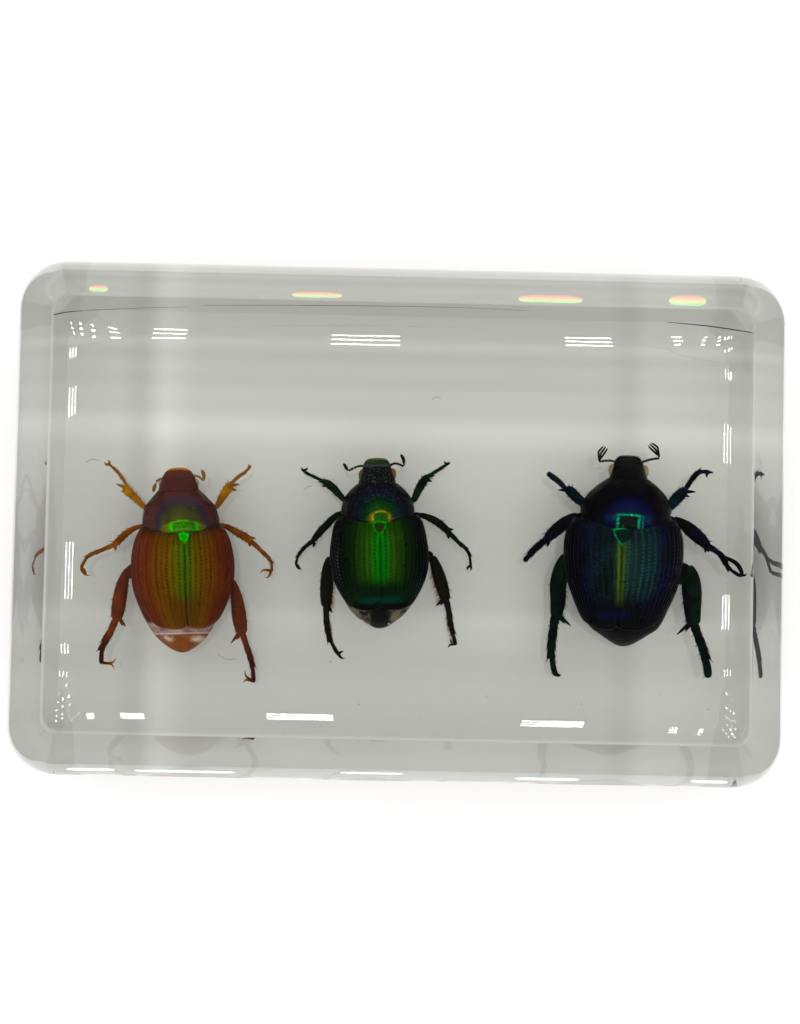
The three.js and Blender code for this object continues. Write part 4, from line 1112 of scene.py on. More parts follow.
# Rows are (x, y, half width). Teeth and claws run from (x, y) to a tip (x, y).
legs = {
    "amber": [
        {
            "thigh": [(-0.9, 5.2, 0.55), (-2.6, 5.7, 0.6), (-3.95, 6.25, 0.34)],
            "shin": [(-3.8, 6.05, 0.3), (-4.5, 6.75, 0.36), (-5.3, 7.6, 0.44), (-6.05, 8.35, 0.52),
                     (-6.35, 8.75, 0.4)],
            "foot": [(-6.05, 8.75, 0.2), (-6.9, 10.2, 0.19), (-7.7, 11.1, 0.16), (-8.25, 11.55, 0.12)],
            "teeth": [(-6.1, 8.65, -7.4, 9.15), (-5.8, 8.0, -6.85, 8.3)],
            "claws": [(-8.15, 11.45, -8.3, 12.0), (-8.2, 11.45, -8.65, 11.8)],
        },
        {
            "thigh": [(0.9, 5.2, 0.55), (2.8, 5.6, 0.6), (4.35, 6.15, 0.34)],
            "shin": [(4.2, 5.95, 0.3), (4.65, 6.7, 0.4), (5.15, 7.55, 0.5), (5.75, 8.4, 0.52),
                     (6.05, 8.95, 0.38)],
            "foot": [(6.0, 8.85, 0.2), (6.9, 9.65, 0.2), (7.7, 10.15, 0.18), (8.1, 10.65, 0.14)],
            "teeth": [(5.9, 8.6, 7.05, 8.75), (5.8, 8.2, 6.7, 8.05)],
            "claws": [(8.05, 10.55, 8.0, 11.1), (8.1, 10.5, 8.5, 10.85)],
        },
        {
            "thigh": [(-1.2, 2.4, 0.6), (-3.2, 3.6, 0.6), (-4.9, 4.1, 0.34)],
            "shin": [(-4.75, 4.1, 0.28), (-5.5, 3.8, 0.32), (-6.3, 3.3, 0.38), (-7.2, 2.5, 0.42),
                     (-7.8, 2.05, 0.34)],
            "foot": [(-7.7, 2.1, 0.24), (-9.4, 1.35, 0.24), (-10.3, 1.0, 0.22), (-11.0, 0.4, 0.19),
                     (-11.35, -0.7, 0.16)],
            "teeth": [(-7.6, 1.9, -7.55, 1.35), (-6.5, 3.2, -6.75, 3.55)],
            "claws": [(-11.35, -0.55, -10.4, -1.4), (-11.35, -0.5, -11.0, -1.5)],
        },
        {
            "thigh": [(1.2, 2.4, 0.6), (3.4, 3.5, 0.6), (5.3, 4.0, 0.34)],
            "shin": [(5.15, 3.95, 0.3), (5.9, 3.55, 0.36), (6.8, 3.0, 0.43), (7.7, 2.45, 0.45),
                     (8.25, 1.95, 0.36)],
            "foot": [(8.2, 2.05, 0.25), (9.5, 0.75, 0.24), (10.2, 0.0, 0.22), (10.65, -0.9, 0.18),
                     (10.35, -1.6, 0.16)],
            "teeth": [(7.9, 2.5, 8.8, 2.35), (8.0, 1.95, 8.1, 1.4)],
            "claws": [(10.4, -1.45, 9.1, -1.75), (10.4, -1.5, 9.65, -2.2)],
        },
        {
            "thigh": [(-1.3, -1.4, 0.8), (-4.0, -1.2, 1.0), (-6.4, -1.1, 0.85)],
            "shin": [(-6.05, -0.8, 0.42), (-6.6, -1.9, 0.6), (-7.0, -3.3, 0.78), (-7.35, -5.1, 0.82),
                     (-7.65, -6.7, 0.64)],
            "foot": [(-7.75, -6.7, 0.36), (-8.4, -8.1, 0.42), (-9.0, -9.1, 0.38), (-9.6, -10.6, 0.3),
                     (-9.3, -11.7, 0.22)],
            "teeth": [(-7.3, -6.5, -6.55, -7.5), (-7.2, -6.6, -6.95, -7.4)],
            "claws": [(-9.35, -11.55, -7.8, -11.0), (-9.35, -11.6, -8.0, -12.4)],
        },
        {
            "thigh": [(1.3, -1.8, 0.8), (3.8, -2.4, 1.0), (6.1, -2.55, 0.75)],
            "shin": [(5.85, -2.4, 0.38), (6.2, -3.6, 0.56), (6.45, -5.1, 0.76), (6.65, -7.0, 0.84),
                     (6.9, -8.75, 0.64)],
            "foot": [(6.95, -8.65, 0.32), (7.4, -10.2, 0.34), (7.8, -11.5, 0.33), (8.1, -13.0, 0.28),
                     (8.05, -14.3, 0.22)],
            "teeth": [(6.6, -8.5, 5.55, -9.8), (6.7, -8.5, 6.3, -9.4)],
            "claws": [(8.05, -14.15, 6.8, -14.3), (8.05, -14.1, 7.15, -12.8)],
        },
    ],
    "green": [
        {
            "thigh": [(-0.9, 4.2, 0.5), (-2.4, 4.6, 0.55), (-3.9, 5.1, 0.38)],
            "shin": [(-3.75, 5.0, 0.34), (-4.3, 5.6, 0.38), (-5.0, 6.4, 0.46), (-5.7, 7.05, 0.46),
                     (-6.4, 7.4, 0.3)],
            "foot": [(-6.2, 7.35, 0.2), (-7.7, 8.1, 0.18), (-8.4, 8.5, 0.16), (-8.6, 8.75, 0.12)],
            "teeth": [(-5.6, 6.95, -6.5, 6.75), (-6.1, 7.4, -6.9, 7.25)],
            "claws": [(-8.55, 8.7, -8.15, 9.1), (-8.55, 8.7, -8.75, 9.1)],
        },
        {
            "thigh": [(0.9, 4.0, 0.5), (2.6, 4.3, 0.55), (4.25, 4.85, 0.38)],
            "shin": [(4.15, 4.75, 0.34), (4.5, 5.5, 0.42), (4.95, 6.4, 0.48), (5.5, 7.25, 0.48),
                     (6.0, 7.8, 0.34)],
            "foot": [(5.95, 7.75, 0.2), (7.1, 8.4, 0.2), (7.9, 8.9, 0.18), (8.35, 9.2, 0.14)],
            "teeth": [(5.8, 7.65, 6.8, 7.8), (5.7, 7.35, 6.45, 7.1)],
            "claws": [(8.3, 9.15, 8.5, 9.45), (8.25, 9.15, 7.95, 9.55)],
        },
        {
            "thigh": [(-1.2, 1.8, 0.6), (-3.0, 3.0, 0.6), (-4.6, 3.65, 0.34)],
            "shin": [(-4.45, 3.65, 0.28), (-5.1, 3.1, 0.38), (-5.8, 2.4, 0.43), (-6.8, 1.4, 0.43),
                     (-7.65, 0.4, 0.34)],
            "foot": [(-7.6, 0.45, 0.25), (-8.6, -0.3, 0.23), (-9.2, -1.0, 0.2), (-9.6, -1.7, 0.17),
                     (-9.6, -2.4, 0.15)],
            "teeth": [(-7.4, 0.3, -7.6, -0.35), (-6.6, 1.7, -7.0, 2.05)],
            "claws": [(-9.6, -2.25, -8.95, -2.8), (-9.6, -2.3, -9.3, -2.9)],
        },
        {
            "thigh": [(1.2, 1.8, 0.6), (3.2, 2.8, 0.6), (5.0, 3.25, 0.36)],
            "shin": [(4.85, 3.2, 0.3), (5.6, 3.0, 0.36), (6.6, 2.55, 0.44), (7.6, 1.8, 0.45),
                     (8.4, 0.95, 0.36)],
            "foot": [(8.35, 1.05, 0.26), (9.5, -0.2, 0.24), (10.3, -0.9, 0.21), (10.8, -2.1, 0.18),
                     (10.65, -2.95, 0.15)],
            "teeth": [(8.0, 1.5, 8.85, 1.45), (8.2, 0.9, 8.2, 0.3)],
            "claws": [(10.7, -2.8, 10.35, -3.35), (10.7, -2.75, 10.6, -3.4)],
        },
        {
            "thigh": [(-1.3, -1.9, 0.75), (-3.6, -2.0, 1.0), (-6.05, -2.1, 0.8)],
            "shin": [(-5.6, -1.5, 0.42), (-5.9, -2.7, 0.64), (-6.05, -4.2, 0.76), (-6.15, -5.8, 0.74),
                     (-6.2, -7.3, 0.6)],
            "foot": [(-6.2, -7.2, 0.32), (-6.2, -8.7, 0.36), (-6.05, -10.1, 0.34), (-5.65, -11.8, 0.26),
                     (-4.7, -12.95, 0.18)],
            "teeth": [(-5.95, -7.1, -5.5, -8.0), (-6.1, -7.2, -5.85, -7.9)],
            "claws": [(-4.85, -12.85, -4.15, -13.25), (-4.85, -12.8, -4.25, -12.55)],
        },
        {
            "thigh": [(1.3, -1.9, 0.75), (3.6, -1.7, 0.95), (6.4, -1.6, 0.68)],
            "shin": [(6.2, -1.65, 0.42), (6.6, -2.7, 0.62), (7.0, -4.0, 0.76), (7.4, -5.5, 0.74),
                     (7.75, -6.9, 0.58)],
            "foot": [(7.8, -6.85, 0.32), (8.1, -8.3, 0.36), (8.25, -9.7, 0.32), (8.65, -11.1, 0.26),
                     (8.75, -12.05, 0.18)],
            "teeth": [(7.4, -6.7, 6.55, -7.45), (7.5, -6.75, 7.1, -7.4)],
            "claws": [(8.75, -11.9, 7.9, -12.35), (8.75, -11.8, 8.15, -11.2)],
        },
    ],
    "blue": [
        {
            "thigh": [(-1.0, 4.8, 0.6), (-2.9, 5.0, 0.65), (-4.75, 5.1, 0.5)],
            "shin": [(-4.6, 5.0, 0.46), (-5.2, 5.5, 0.54), (-5.9, 6.1, 0.6), (-6.6, 6.75, 0.6),
                     (-7.1, 7.1, 0.42)],
            "foot": [(-7.05, 6.95, 0.28), (-7.9, 7.8, 0.32), (-8.7, 8.4, 0.32), (-9.3, 8.85, 0.32)],
            "teeth": [(-6.8, 6.9, -8.1, 6.85), (-6.9, 7.1, -7.75, 7.2)], "claws": [],
        },
        {
            "thigh": [(1.0, 4.8, 0.6), (3.0, 4.9, 0.65), (4.85, 5.05, 0.5)],
            "shin": [(4.7, 4.95, 0.46), (5.2, 5.55, 0.6), (5.8, 6.3, 0.68), (6.45, 7.0, 0.64),
                     (6.95, 7.5, 0.42)],
            "foot": [(6.95, 7.6, 0.26), (7.55, 8.6, 0.29), (8.1, 9.35, 0.3), (8.8, 9.75, 0.28),
                     (9.5, 9.5, 0.22)],
            "teeth": [(6.9, 7.2, 8.05, 7.2), (6.6, 6.85, 7.4, 6.6)],
            "claws": [(9.35, 9.55, 9.3, 8.95), (9.4, 9.55, 9.9, 9.45)],
        },
        {
            "thigh": [(-1.4, 2.2, 0.7), (-3.8, 3.4, 0.7), (-5.85, 3.95, 0.44)],
            "shin": [(-5.6, 3.95, 0.4), (-6.5, 3.5, 0.6), (-7.4, 2.8, 0.74), (-8.4, 1.9, 0.7),
                     (-9.2, 1.1, 0.54)],
            "foot": [(-9.1, 1.15, 0.4), (-10.4, 0.0, 0.38), (-11.1, -0.8, 0.35), (-11.7, -1.6, 0.28)],
            "teeth": [(-8.9, 0.9, -9.1, 0.15), (-7.9, 2.3, -8.6, 2.45)], "claws": [],
        },
        {
            "thigh": [(1.4, 2.2, 0.7), (3.6, 3.3, 0.7), (5.65, 3.95, 0.44)],
            "shin": [(5.45, 3.9, 0.4), (6.4, 3.5, 0.56), (7.4, 2.8, 0.76), (8.5, 1.85, 0.74),
                     (9.5, 0.85, 0.5)],
            "foot": [(9.45, 0.95, 0.32), (10.75, 0.05, 0.31), (11.35, -0.95, 0.27), (12.1, -2.1, 0.23),
                     (13.15, -2.4, 0.19)],
            "teeth": [(9.2, 0.85, 9.25, 0.1), (9.4, 0.8, 9.6, 0.15)],
            "claws": [(13.05, -2.35, 13.55, -2.1)],
            "loop": [(11.0, -0.25, 0.2), (11.8, -0.55, 0.24), (12.5, -1.0, 0.25), (12.95, -1.7, 0.23),
                     (13.15, -2.35, 0.19)],
        },
        {
            "thigh": [(-1.5, -1.8, 1.0), (-4.4, -2.2, 1.5), (-7.5, -2.2, 1.4)],
            "shin": [(-6.55, -0.8, 0.85), (-7.3, -2.3, 0.98), (-7.7, -4.2, 0.98), (-7.65, -6.2, 0.9),
                     (-7.85, -7.95, 0.7)],
            "foot": [(-7.9, -7.9, 0.48), (-8.1, -9.6, 0.5), (-8.25, -11.4, 0.48), (-8.15, -13.3, 0.42),
                     (-7.55, -14.8, 0.24)],
            "teeth": [(-7.4, -7.8, -6.0, -9.0), (-7.5, -7.9, -6.75, -8.75)],
            "claws": [(-7.65, -14.65, -6.95, -14.6), (-7.65, -14.6, -7.1, -14.85)],
        },
        {
            "thigh": [(1.5, -1.9, 1.0), (4.4, -2.3, 1.4), (7.75, -2.4, 1.3)],
            "shin": [(7.05, -1.6, 0.82), (7.6, -2.9, 1.04), (7.85, -4.6, 1.1), (8.0, -6.6, 0.94),
                     (8.2, -8.35, 0.74)],
            "foot": [(8.25, -8.3, 0.44), (8.8, -9.8, 0.46), (9.35, -11.2, 0.46), (9.8, -12.8, 0.44),
                     (10.0, -14.4, 0.42)],
            "teeth": [(7.7, -8.2, 6.25, -9.6), (7.8, -8.2, 7.3, -9.2)], "claws": [],
        },
    ],
}


def raise_rows(rows, start, end):
    last = len(rows) - 1
    return [(x, y, start + (end - start) * i / last, r) for i, (x, y, r) in enumerate(rows)]


def thorn(bm, foot, tip, size, bend=0.0):
    """A tapering spine, tooth or claw; bend bows it to one side."""
    foot, tip = Vector(foot), Vector(tip)
    side = (tip - foot).cross(Vector((0, 0, 1))) * bend
    rows = [
        (*foot, size),
        (*(foot.lerp(tip, 0.35) + side * 0.8), size * 0.85),
        (*(foot.lerp(tip, 0.7) + side), size * 0.55),
        (*tip, size * 0.12),
    ]
    limb_form(bm, rows, 0.9, 8, 10, 12)


def leg_form(leg, chance):
    bm = bmesh.new()
    thigh = raise_rows(leg["thigh"], hip_height, knee_height)
    shin = raise_rows(leg["shin"], knee_height, ankle_height)
    ankle = along(shin, 0.93)
    foot = [(*ankle[:3], leg["foot"][0][2]), *raise_rows(leg["foot"], ankle_height, toe_height)]
    x, y, z, r = thigh[0]
    outward = 1 if x > 0 else -1
    hip = [(x - 0.5 * outward, y, z - 0.1, r), (x, y, z, r * 1.25), (x + 0.7 * outward, y, z, r)]
    limb_form(bm, hip, 0.7, 16, 14, 3)
    limb_form(bm, thigh, 0.75, 20, 26, 5)
    limb_form(bm, shin, 0.7, 20, 40, 16)
    # foot joints, each flared at its far end
    spot = 0.0
    for share in foot_shares:
        start, end = along(foot, max(0, spot - 0.03)), along(foot, min(1, spot + share * 1.08))
        wide = (start[3] + end[3]) / 2
        middle = along(foot, spot + share * 0.55)
        last = spot + share > 0.95
        flare = last_flare if last else joint_flare
        rows = [
            (*start[:3], wide * flare[0]),
            (*[(a + b) / 2 for a, b in zip(start[:3], middle[:3])], wide * flare[1]),
            (*middle[:3], wide * flare[2]),
            (*end[:3], wide * flare[3]),
        ]
        limb_form(bm, rows, 0.8, 14, 18, 5 if last else 16)
        way = Vector(end[:3]) - Vector(start[:3])
        side = way.cross(Vector((0, 0, 1))).normalized()
        if not last:
            for hand in (-1, 1):
                base = Vector(end[:3]) + side * hand * wide * 0.7 - way * 0.1
                tip = base + side * hand * wide * 0.7 + way.normalized() * wide * 1.3
                thorn(bm, base, tip, wide * 0.16)
        spot += share
    for x, y, tip_x, tip_y in leg["teeth"]:
        thorn(bm, (x, y, tooth_height - 0.05), (tip_x, tip_y, tooth_height - 0.2), tooth_size)
    if "loop" in leg:
        # the last joint bent back on itself
        limb_form(bm, raise_rows(leg["loop"], toe_height + 0.3, toe_height), 0.8, 14, 24, 8)
    for i, (x, y, tip_x, tip_y) in enumerate(leg["claws"]):
        bend = -claw_bend if i else claw_bend
        thorn(bm, (x, y, toe_height + 0.05), (tip_x, tip_y, toe_height - 0.1), claw_size, bend)
    for share in spine_shares:
        x, y, z, r = along(shin, share)
        ahead = along(shin, share + 0.03)
        way = Vector((ahead[0] - x, ahead[1] - y, 0)).normalized()
        side = way.cross(Vector((0, 0, 1)))
        for hand in (-1, 1):
            if chance.random() < spine_chance:
                base = Vector((x, y, z)) + side * hand * r * 0.85
                reach = 0.22 + 0.2 * chance.random()
                thorn(bm, base, base + side * hand * reach * 0.8 + way * reach * 1.1, spine_size)
    bmesh.ops.recalc_face_normals(bm, faces=bm.faces)
    return bm


def leg_material(kind, order):
    shell = Shell(f"{kind}_leg_{order}")
    cloud = shell.noise(shell.object_place(), 700, 4)
    height = shell.split(shell.object_place())[2]
    dark, light = {
        "amber": {
            "front": ((136, 84, 26), (184, 126, 6)), "middle": ((112, 54, 14), (148, 84, 14)),
            "hind": ((86, 42, 28), (108, 50, 22)),
        },
        "green": {
            "front": ((16, 20, 14), (14, 42, 16)), "middle": ((15, 17, 14), (18, 28, 14)),
            "hind": ((15, 15, 13), (26, 26, 14)),
        },
        "blue": {
            "front": ((11, 10, 14), (8, 34, 40)), "middle": ((11, 10, 13), (12, 14, 34)),
            "hind": ((11, 10, 12), (8, 30, 16)),
        },
    }[kind][order]
    colour = shell.mix(shell.clamp(cloud, 0.35, 0.7), dark, light)
    if kind == "amber":
        claw = shell.clamp(height, 7.12 * mm, 7.4 * mm)
        foot = {"front": (134, 82, 30), "middle": (120, 64, 18), "hind": (62, 26, 18)}[order]
        toward_foot = shell.clamp(height, 7.75 * mm, 8.0 * mm)
        colour = shell.mix(toward_foot, foot, colour)
        colour = shell.mix(claw, (160, 92, 16), colour)
    shell.pits(0.2, 0.015)
    return shell.finish(colour, 0.05, 0.34)


for kind in kinds:
    for name, leg in zip(leg_names, legs[kind]):
        chance = random.Random(f"{kind} {name}")
        order = name.split("_")[0]
        look = bpy.data.materials.get(f"{kind}_leg_{order}") or leg_material(kind, order)
        part_of_chafer(leg_form(leg, chance), kind, f"leg_{name}", look)

# Hairs: a fringe of fine bristles along the inner edge of the hind shins and under the feet.
# Each one is a stiff, tapering hair rooted in the shell, and no two have the same length.
hair_look = {
    "amber": {"count": 16, "length": 0.45, "colour": (120, 70, 30)},
    "green": {"count": 64, "length": 0.75, "colour": (150, 108, 52)},
    "blue": {"count": 30, "length": 0.85, "colour": (26, 22, 18)},
}
hair_size = 0.03
foot_hair_share = 0.6


def hair_form(kind, chance):
    look = hair_look[kind]
    bm = bmesh.new()
    for name, leg in zip(leg_names, legs[kind]):
        if not name.startswith("hind"):
            continue
        inward = 1 if name.endswith("left") else -1
        shin = raise_rows(leg["shin"], knee_height, ankle_height)
        foot = raise_rows(leg["foot"], ankle_height, toe_height)
        for rows, share_of_length in ((shin, 1.0), (foot, foot_hair_share)):
            for _ in range(look["count"]):
                share = 0.3 + 0.65 * chance.random()
                x, y, z, r = along(rows, share)
                lift = (chance.random() - 0.5) * r
                base = Vector((x + inward * r * 0.7, y, z + lift * 0.6))
                long = look["length"] * share_of_length * (0.6 + 0.6 * chance.random())
                way = (inward * (0.7 + 0.4 * chance.random()), -0.6 - 0.5 * chance.random(), lift * 0.8)
                tip = base + Vector(way).normalized() * long
                waist = base.lerp(tip, 0.5)
                hair = [(*base, hair_size), (*waist, hair_size * 0.8), (*tip, hair_size * 0.15)]
                limb_form(bm, hair, 1.0, 5, 4, 12)
    return bm


def hair_material(kind):
    shell = Shell(f"{kind}_hair")
    cloud = shell.noise(shell.object_place(), 2500, 2)
    r, g, b = hair_look[kind]["colour"]
    colour = shell.mix(cloud, (r, g, b), (int(r * 0.7), int(g * 0.7), int(b * 0.7)))
    return shell.finish(colour, 0.0, 0.5)


for kind in kinds:
    part_of_chafer(hair_form(kind, random.Random(f"{kind} hair")), kind, "hairs", hair_material(kind))

# Specks: dust and a few stray fibres, caught where the second layer of resin was poured over the
# first, and a fine line drawn just inside the far rim, dark at its ends and pale along the middle.
layer_height = 12.0
dust_count = 34
dust_field = (38, 23)
fibres = [
    [(-36.2, 6.1), (-35.4, 6.5), (-34.6, 6.3)], [(-20.6, -15.6), (-19.6, -16.2), (-18.4, -16.1)],
    [(-11.2, 3.4), (-10.6, 3.9), (-10.1, 3.9)], [(3.4, 14.2), (3.9, 14.6), (4.5, 14.4)],
]
# rows are (x, y, height, half width)
seam_ends = [
    [(-39.5, 22.2, 23.15, 0.06), (-38.0, 22.5, 23.25, 0.05), (-36.2, 22.7, 23.3, 0.03)],
    [(29.7, 22.85, 23.3, 0.03), (34.4, 22.5, 23.3, 0.06), (39.4, 21.9, 23.15, 0.06)],
]
seam_middle = [
    [(-36.2, 22.7, 23.3, 0.03), (-30.0, 23.1, 23.3, 0.03), (-24.5, 23.4, 23.3, 0.02)],
    [(-23.0, 23.6, 23.3, 0.03), (-8.4, 23.9, 23.25, 0.04), (5.1, 24.0, 23.2, 0.03),
     (14.0, 23.8, 23.2, 0.02)],
]


def speck_material(name, colour):
    shell = Shell(name)
    cloud = shell.noise(shell.object_place(), 3000, 2)
    return shell.finish(shell.mix(cloud, colour, (60, 44, 30)), 0.0, 0.6)


dust_form = bmesh.new()
chance = random.Random("dust")
for _ in range(dust_count):
    made = bmesh.ops.create_icosphere(dust_form, subdivisions=2, radius=0.03 + 0.05 * chance.random() ** 2)
    bmesh.ops.scale(dust_form, vec=(1, 0.6 + 0.6 * chance.random(), 0.6), verts=made["verts"])
    spot = [(2 * chance.random() - 1) * reach for reach in dust_field]
    bmesh.ops.translate(dust_form, vec=(*spot, layer_height + chance.random()), verts=made["verts"])
fibre_form = bmesh.new()
for fibre in fibres:
    limb_form(fibre_form, [(x, y, layer_height, 0.035) for x, y in fibre], 1.0, 6, 16, 12)
line_forms = []
for lines in (seam_ends, seam_middle):
    line_forms.append(bmesh.new())
    for line in lines:
        limb_form(line_forms[-1], line, 0.6, 8, 60, 20)
for form, name, look in (
    (line_forms[0], "seam_ends", speck_material("seam_ends", (64, 58, 44))),
    (line_forms[1], "seam_middle", speck_material("seam_middle", (186, 172, 138))),
    (dust_form, "dust", speck_material("dust", (78, 58, 40))),
    (fibre_form, "fibres", speck_material("fibres", (196, 186, 170))),
):
    bmesh.ops.scale(form, vec=(mm, mm, mm), verts=form.verts)
    make_piece(form, name, look, [])

# Floor: a pale sheet with painted shade under the block. A film of air a tenth of a millimetre
# thick lies between it and the block, so that the block's underside still bends light as it does in the
# hand.
floor_drop = 0.1 * mm
floor_form = bmesh.new()
bmesh.ops.create_grid(floor_form, x_segments=2, y_segments=2, size=1.5)
bmesh.ops.translate(floor_form, verts=floor_form.verts, vec=(0, 0, -floor_drop))
# under the block the sheet is painted with the block's shade and with soft painted bands of light;
# the bands are (place in millimetres, share of the sheet's full tone)
painted_bands_across = [
    (-43, 1.12), (-34, 1.0), (-31, 0.88), (-28, 1.15), (-24, 1.0), (24, 1.0), (27, 0.92), (30, 1.07),
    (43, 1.12),
]
painted_bands_along = [
    (-28, 0.98), (-20, 0.98), (-16, 0.91), (-13.5, 0.98), (-11.2, 1.05), (-9.5, 0.96), (0, 0.97),
    (8, 1.02), (11.4, 1.18), (13.8, 0.99), (15.4, 1.01), (17, 0.94), (18.6, 0.99), (20, 0.93),
    (21.2, 1.08), (22.2, 0.97), (28, 0.96),
]
painted_shade_tone = 0.68
open_tone = 0.86
# the shade ends between these distances from the middle, across and along
shade_ends = ((40.5 * mm, 43 * mm), (25.8 * mm, 28 * mm))
paper_tint = {"Red": 1.0, "Green": 0.985, "Blue": 0.965}
paper = Shell("pale_floor")
paper_x, paper_y, _ = paper.split(paper.object_place())


def bands(place, rows):
    """The painted shade and light bands along one axis, through the rows."""
    start, end = rows[0][0], rows[-1][0]
    measured = paper.node("ShaderNodeMapRange")
    paper.join(place, measured.inputs["Value"])
    measured.inputs["From Min"].default_value = start * mm
    measured.inputs["From Max"].default_value = end * mm
    # a ramp holds no more than full white, so it carries half the tone
    stops = [((spot - start) / (end - start), (share / 2,) * 3) for spot, share in rows]
    return paper.value("MULTIPLY", paper.linear_ramp(measured.outputs["Result"], stops), 2.0)


# painted shade under the block with painted light bands in it, and the open floor's plain tone outside
tone = bands(paper_x, painted_bands_across) * bands(paper_y, painted_bands_along) * painted_shade_tone
beside, before = (paper.clamp(abs(place), *ends) for place, ends in zip((paper_x, paper_y), shade_ends))
outside = paper.value("MAXIMUM", beside, before)
tone = tone * (1.0 - outside) + outside * open_tone
paper_colour = paper.node("ShaderNodeCombineColor")
for channel, share in paper_tint.items():
    paper.join(tone * share, paper_colour.inputs[channel])
mesh_object(floor_form, "floor", paper.finish(paper_colour.outputs[0], 0.0, 0.7))

# Light: a bright even room. The polish alone mirrors a ring of triple tubes and a dark shade
# overhead, low dark walls around the block, and the small glints that lamplight throws on it.
# All of these are plain sheets that light nothing else.
sky_reach = 0.7
sky_low, sky_high = 0.5, 1.75
world = bpy.data.worlds.new("room")
world.use_nodes = True
sky_tree = world.node_tree
sky_place = sky_tree.nodes.new("ShaderNodeTexCoord")
sky_axes = sky_tree.nodes.new("ShaderNodeSeparateXYZ")
sky_rise = sky_tree.nodes.new("ShaderNodeMapRange")
sky_rise.interpolation_type = "SMOOTHSTEP"
sky_rise.inputs["From Max"].default_value = sky_reach
sky_rise.inputs["To Min"].default_value = sky_low
sky_rise.inputs["To Max"].default_value = sky_high
sky_tree.links.new(sky_place.outputs["Generated"], sky_axes.inputs[0])
sky_tree.links.new(sky_axes.outputs["Z"], sky_rise.inputs["Value"])
sky_tree.links.new(sky_rise.outputs["Result"], sky_tree.nodes["Background"].inputs["Strength"])
sky_tree.nodes["Background"].inputs["Color"].default_value = (0.98, 0.985, 1.0, 1)
bpy.context.scene.world = world
tube_height = 1.5
tube_width = 0.0075
column_width = 0.75 * tube_width
tube_glow = 45.0
# every lamp is three tubes side by side; each stands at (x, y), with its length and tube pitch
row_lamps = [
    (-0.43, 0.305, 0.014, 0.02), (-0.363, 0.32, 0.014, 0.022), (-0.306, 0.322, 0.013, 0.026),
    (-0.241, 0.328, 0.023, 0.032), (-0.165, 0.365, 0.026, 0.034), (-0.011, 0.349, 0.054, 0.034),
    (0.166, 0.373, 0.037, 0.03), (0.2375, 0.397, 0.008, 0.031), (0.308, 0.348, 0.012, 0.024),
    (0.363, 0.335, 0.014, 0.019), (-0.285, -0.32, 0.008, 0.03), (-0.221, -0.389, 0.006, 0.02),
    (-0.188, -0.381, 0.018, 0.02), (-0.056, -0.36, 0.052, 0.02), (0.143, -0.377, 0.05, 0.02),
    (0.2395, -0.413, 0.007, 0.02), (0.262, -0.425, 0.004, 0.024), (0.365, -0.32, 0.008, 0.028),
    (0.415, -0.282, 0.008, 0.028),
]
column_lamps = [
    (-0.516, 0.211, 0.008, 0.027), (-0.51, 0.17, 0.024, 0.028), (-0.495, 0.036, 0.046, 0.03),
    (-0.513, -0.027, 0.008, 0.03), (-0.523, -0.047, 0.004, 0.034), (-0.463, -0.098, 0.01, 0.04),
    (-0.414, -0.152, 0.01, 0.04), (-0.393, -0.193, 0.01, 0.038), (-0.375, -0.235, 0.01, 0.034),
    (-0.36, -0.273, 0.012, 0.034), (0.409, 0.342, 0.012, 0.019), (0.4335, 0.284, 0.012, 0.025),
    (0.512, 0.2045, 0.0075, 0.026), (0.511, 0.148, 0.032, 0.028), (0.515, 0.014, 0.027, 0.028),
    (0.537, -0.036, 0.005, 0.028), (0.528, -0.071, 0.01, 0.032), (0.467, -0.142, 0.01, 0.03),
    (0.446, -0.188, 0.01, 0.028), (0.431, -0.23, 0.01, 0.026),
]


def glowing_sheet(name, bm, strength):
    """A flat light source that only mirror reflections see; returns the shell of its look."""
    glow = Shell(name, "ShaderNodeEmission")
    glow.material.cycles.emission_sampling = "NONE"
    glow.shader.inputs["Strength"].default_value = strength
    sheet = mesh_object(bm, name, glow.material)
    for ray in ("camera", "diffuse", "transmission", "shadow"):
        setattr(sheet, f"visible_{ray}", False)
    return glow


tubes = bmesh.new()
for lamps, along_x in ((row_lamps, True), (column_lamps, False)):
    for x, y, length, pitch in lamps:
        for step in (-pitch, 0, pitch):
            made = bmesh.ops.create_grid(tubes, x_segments=1, y_segments=1, size=0.5)["verts"]
            size = (length, tube_width, 1) if along_x else (column_width, length, 1)
            bmesh.ops.scale(tubes, vec=size, verts=made)
            spot = (x, y + step, tube_height) if along_x else (x + step, y, tube_height)
            bmesh.ops.translate(tubes, vec=spot, verts=made)
glowing_sheet("tubes", tubes, tube_glow)

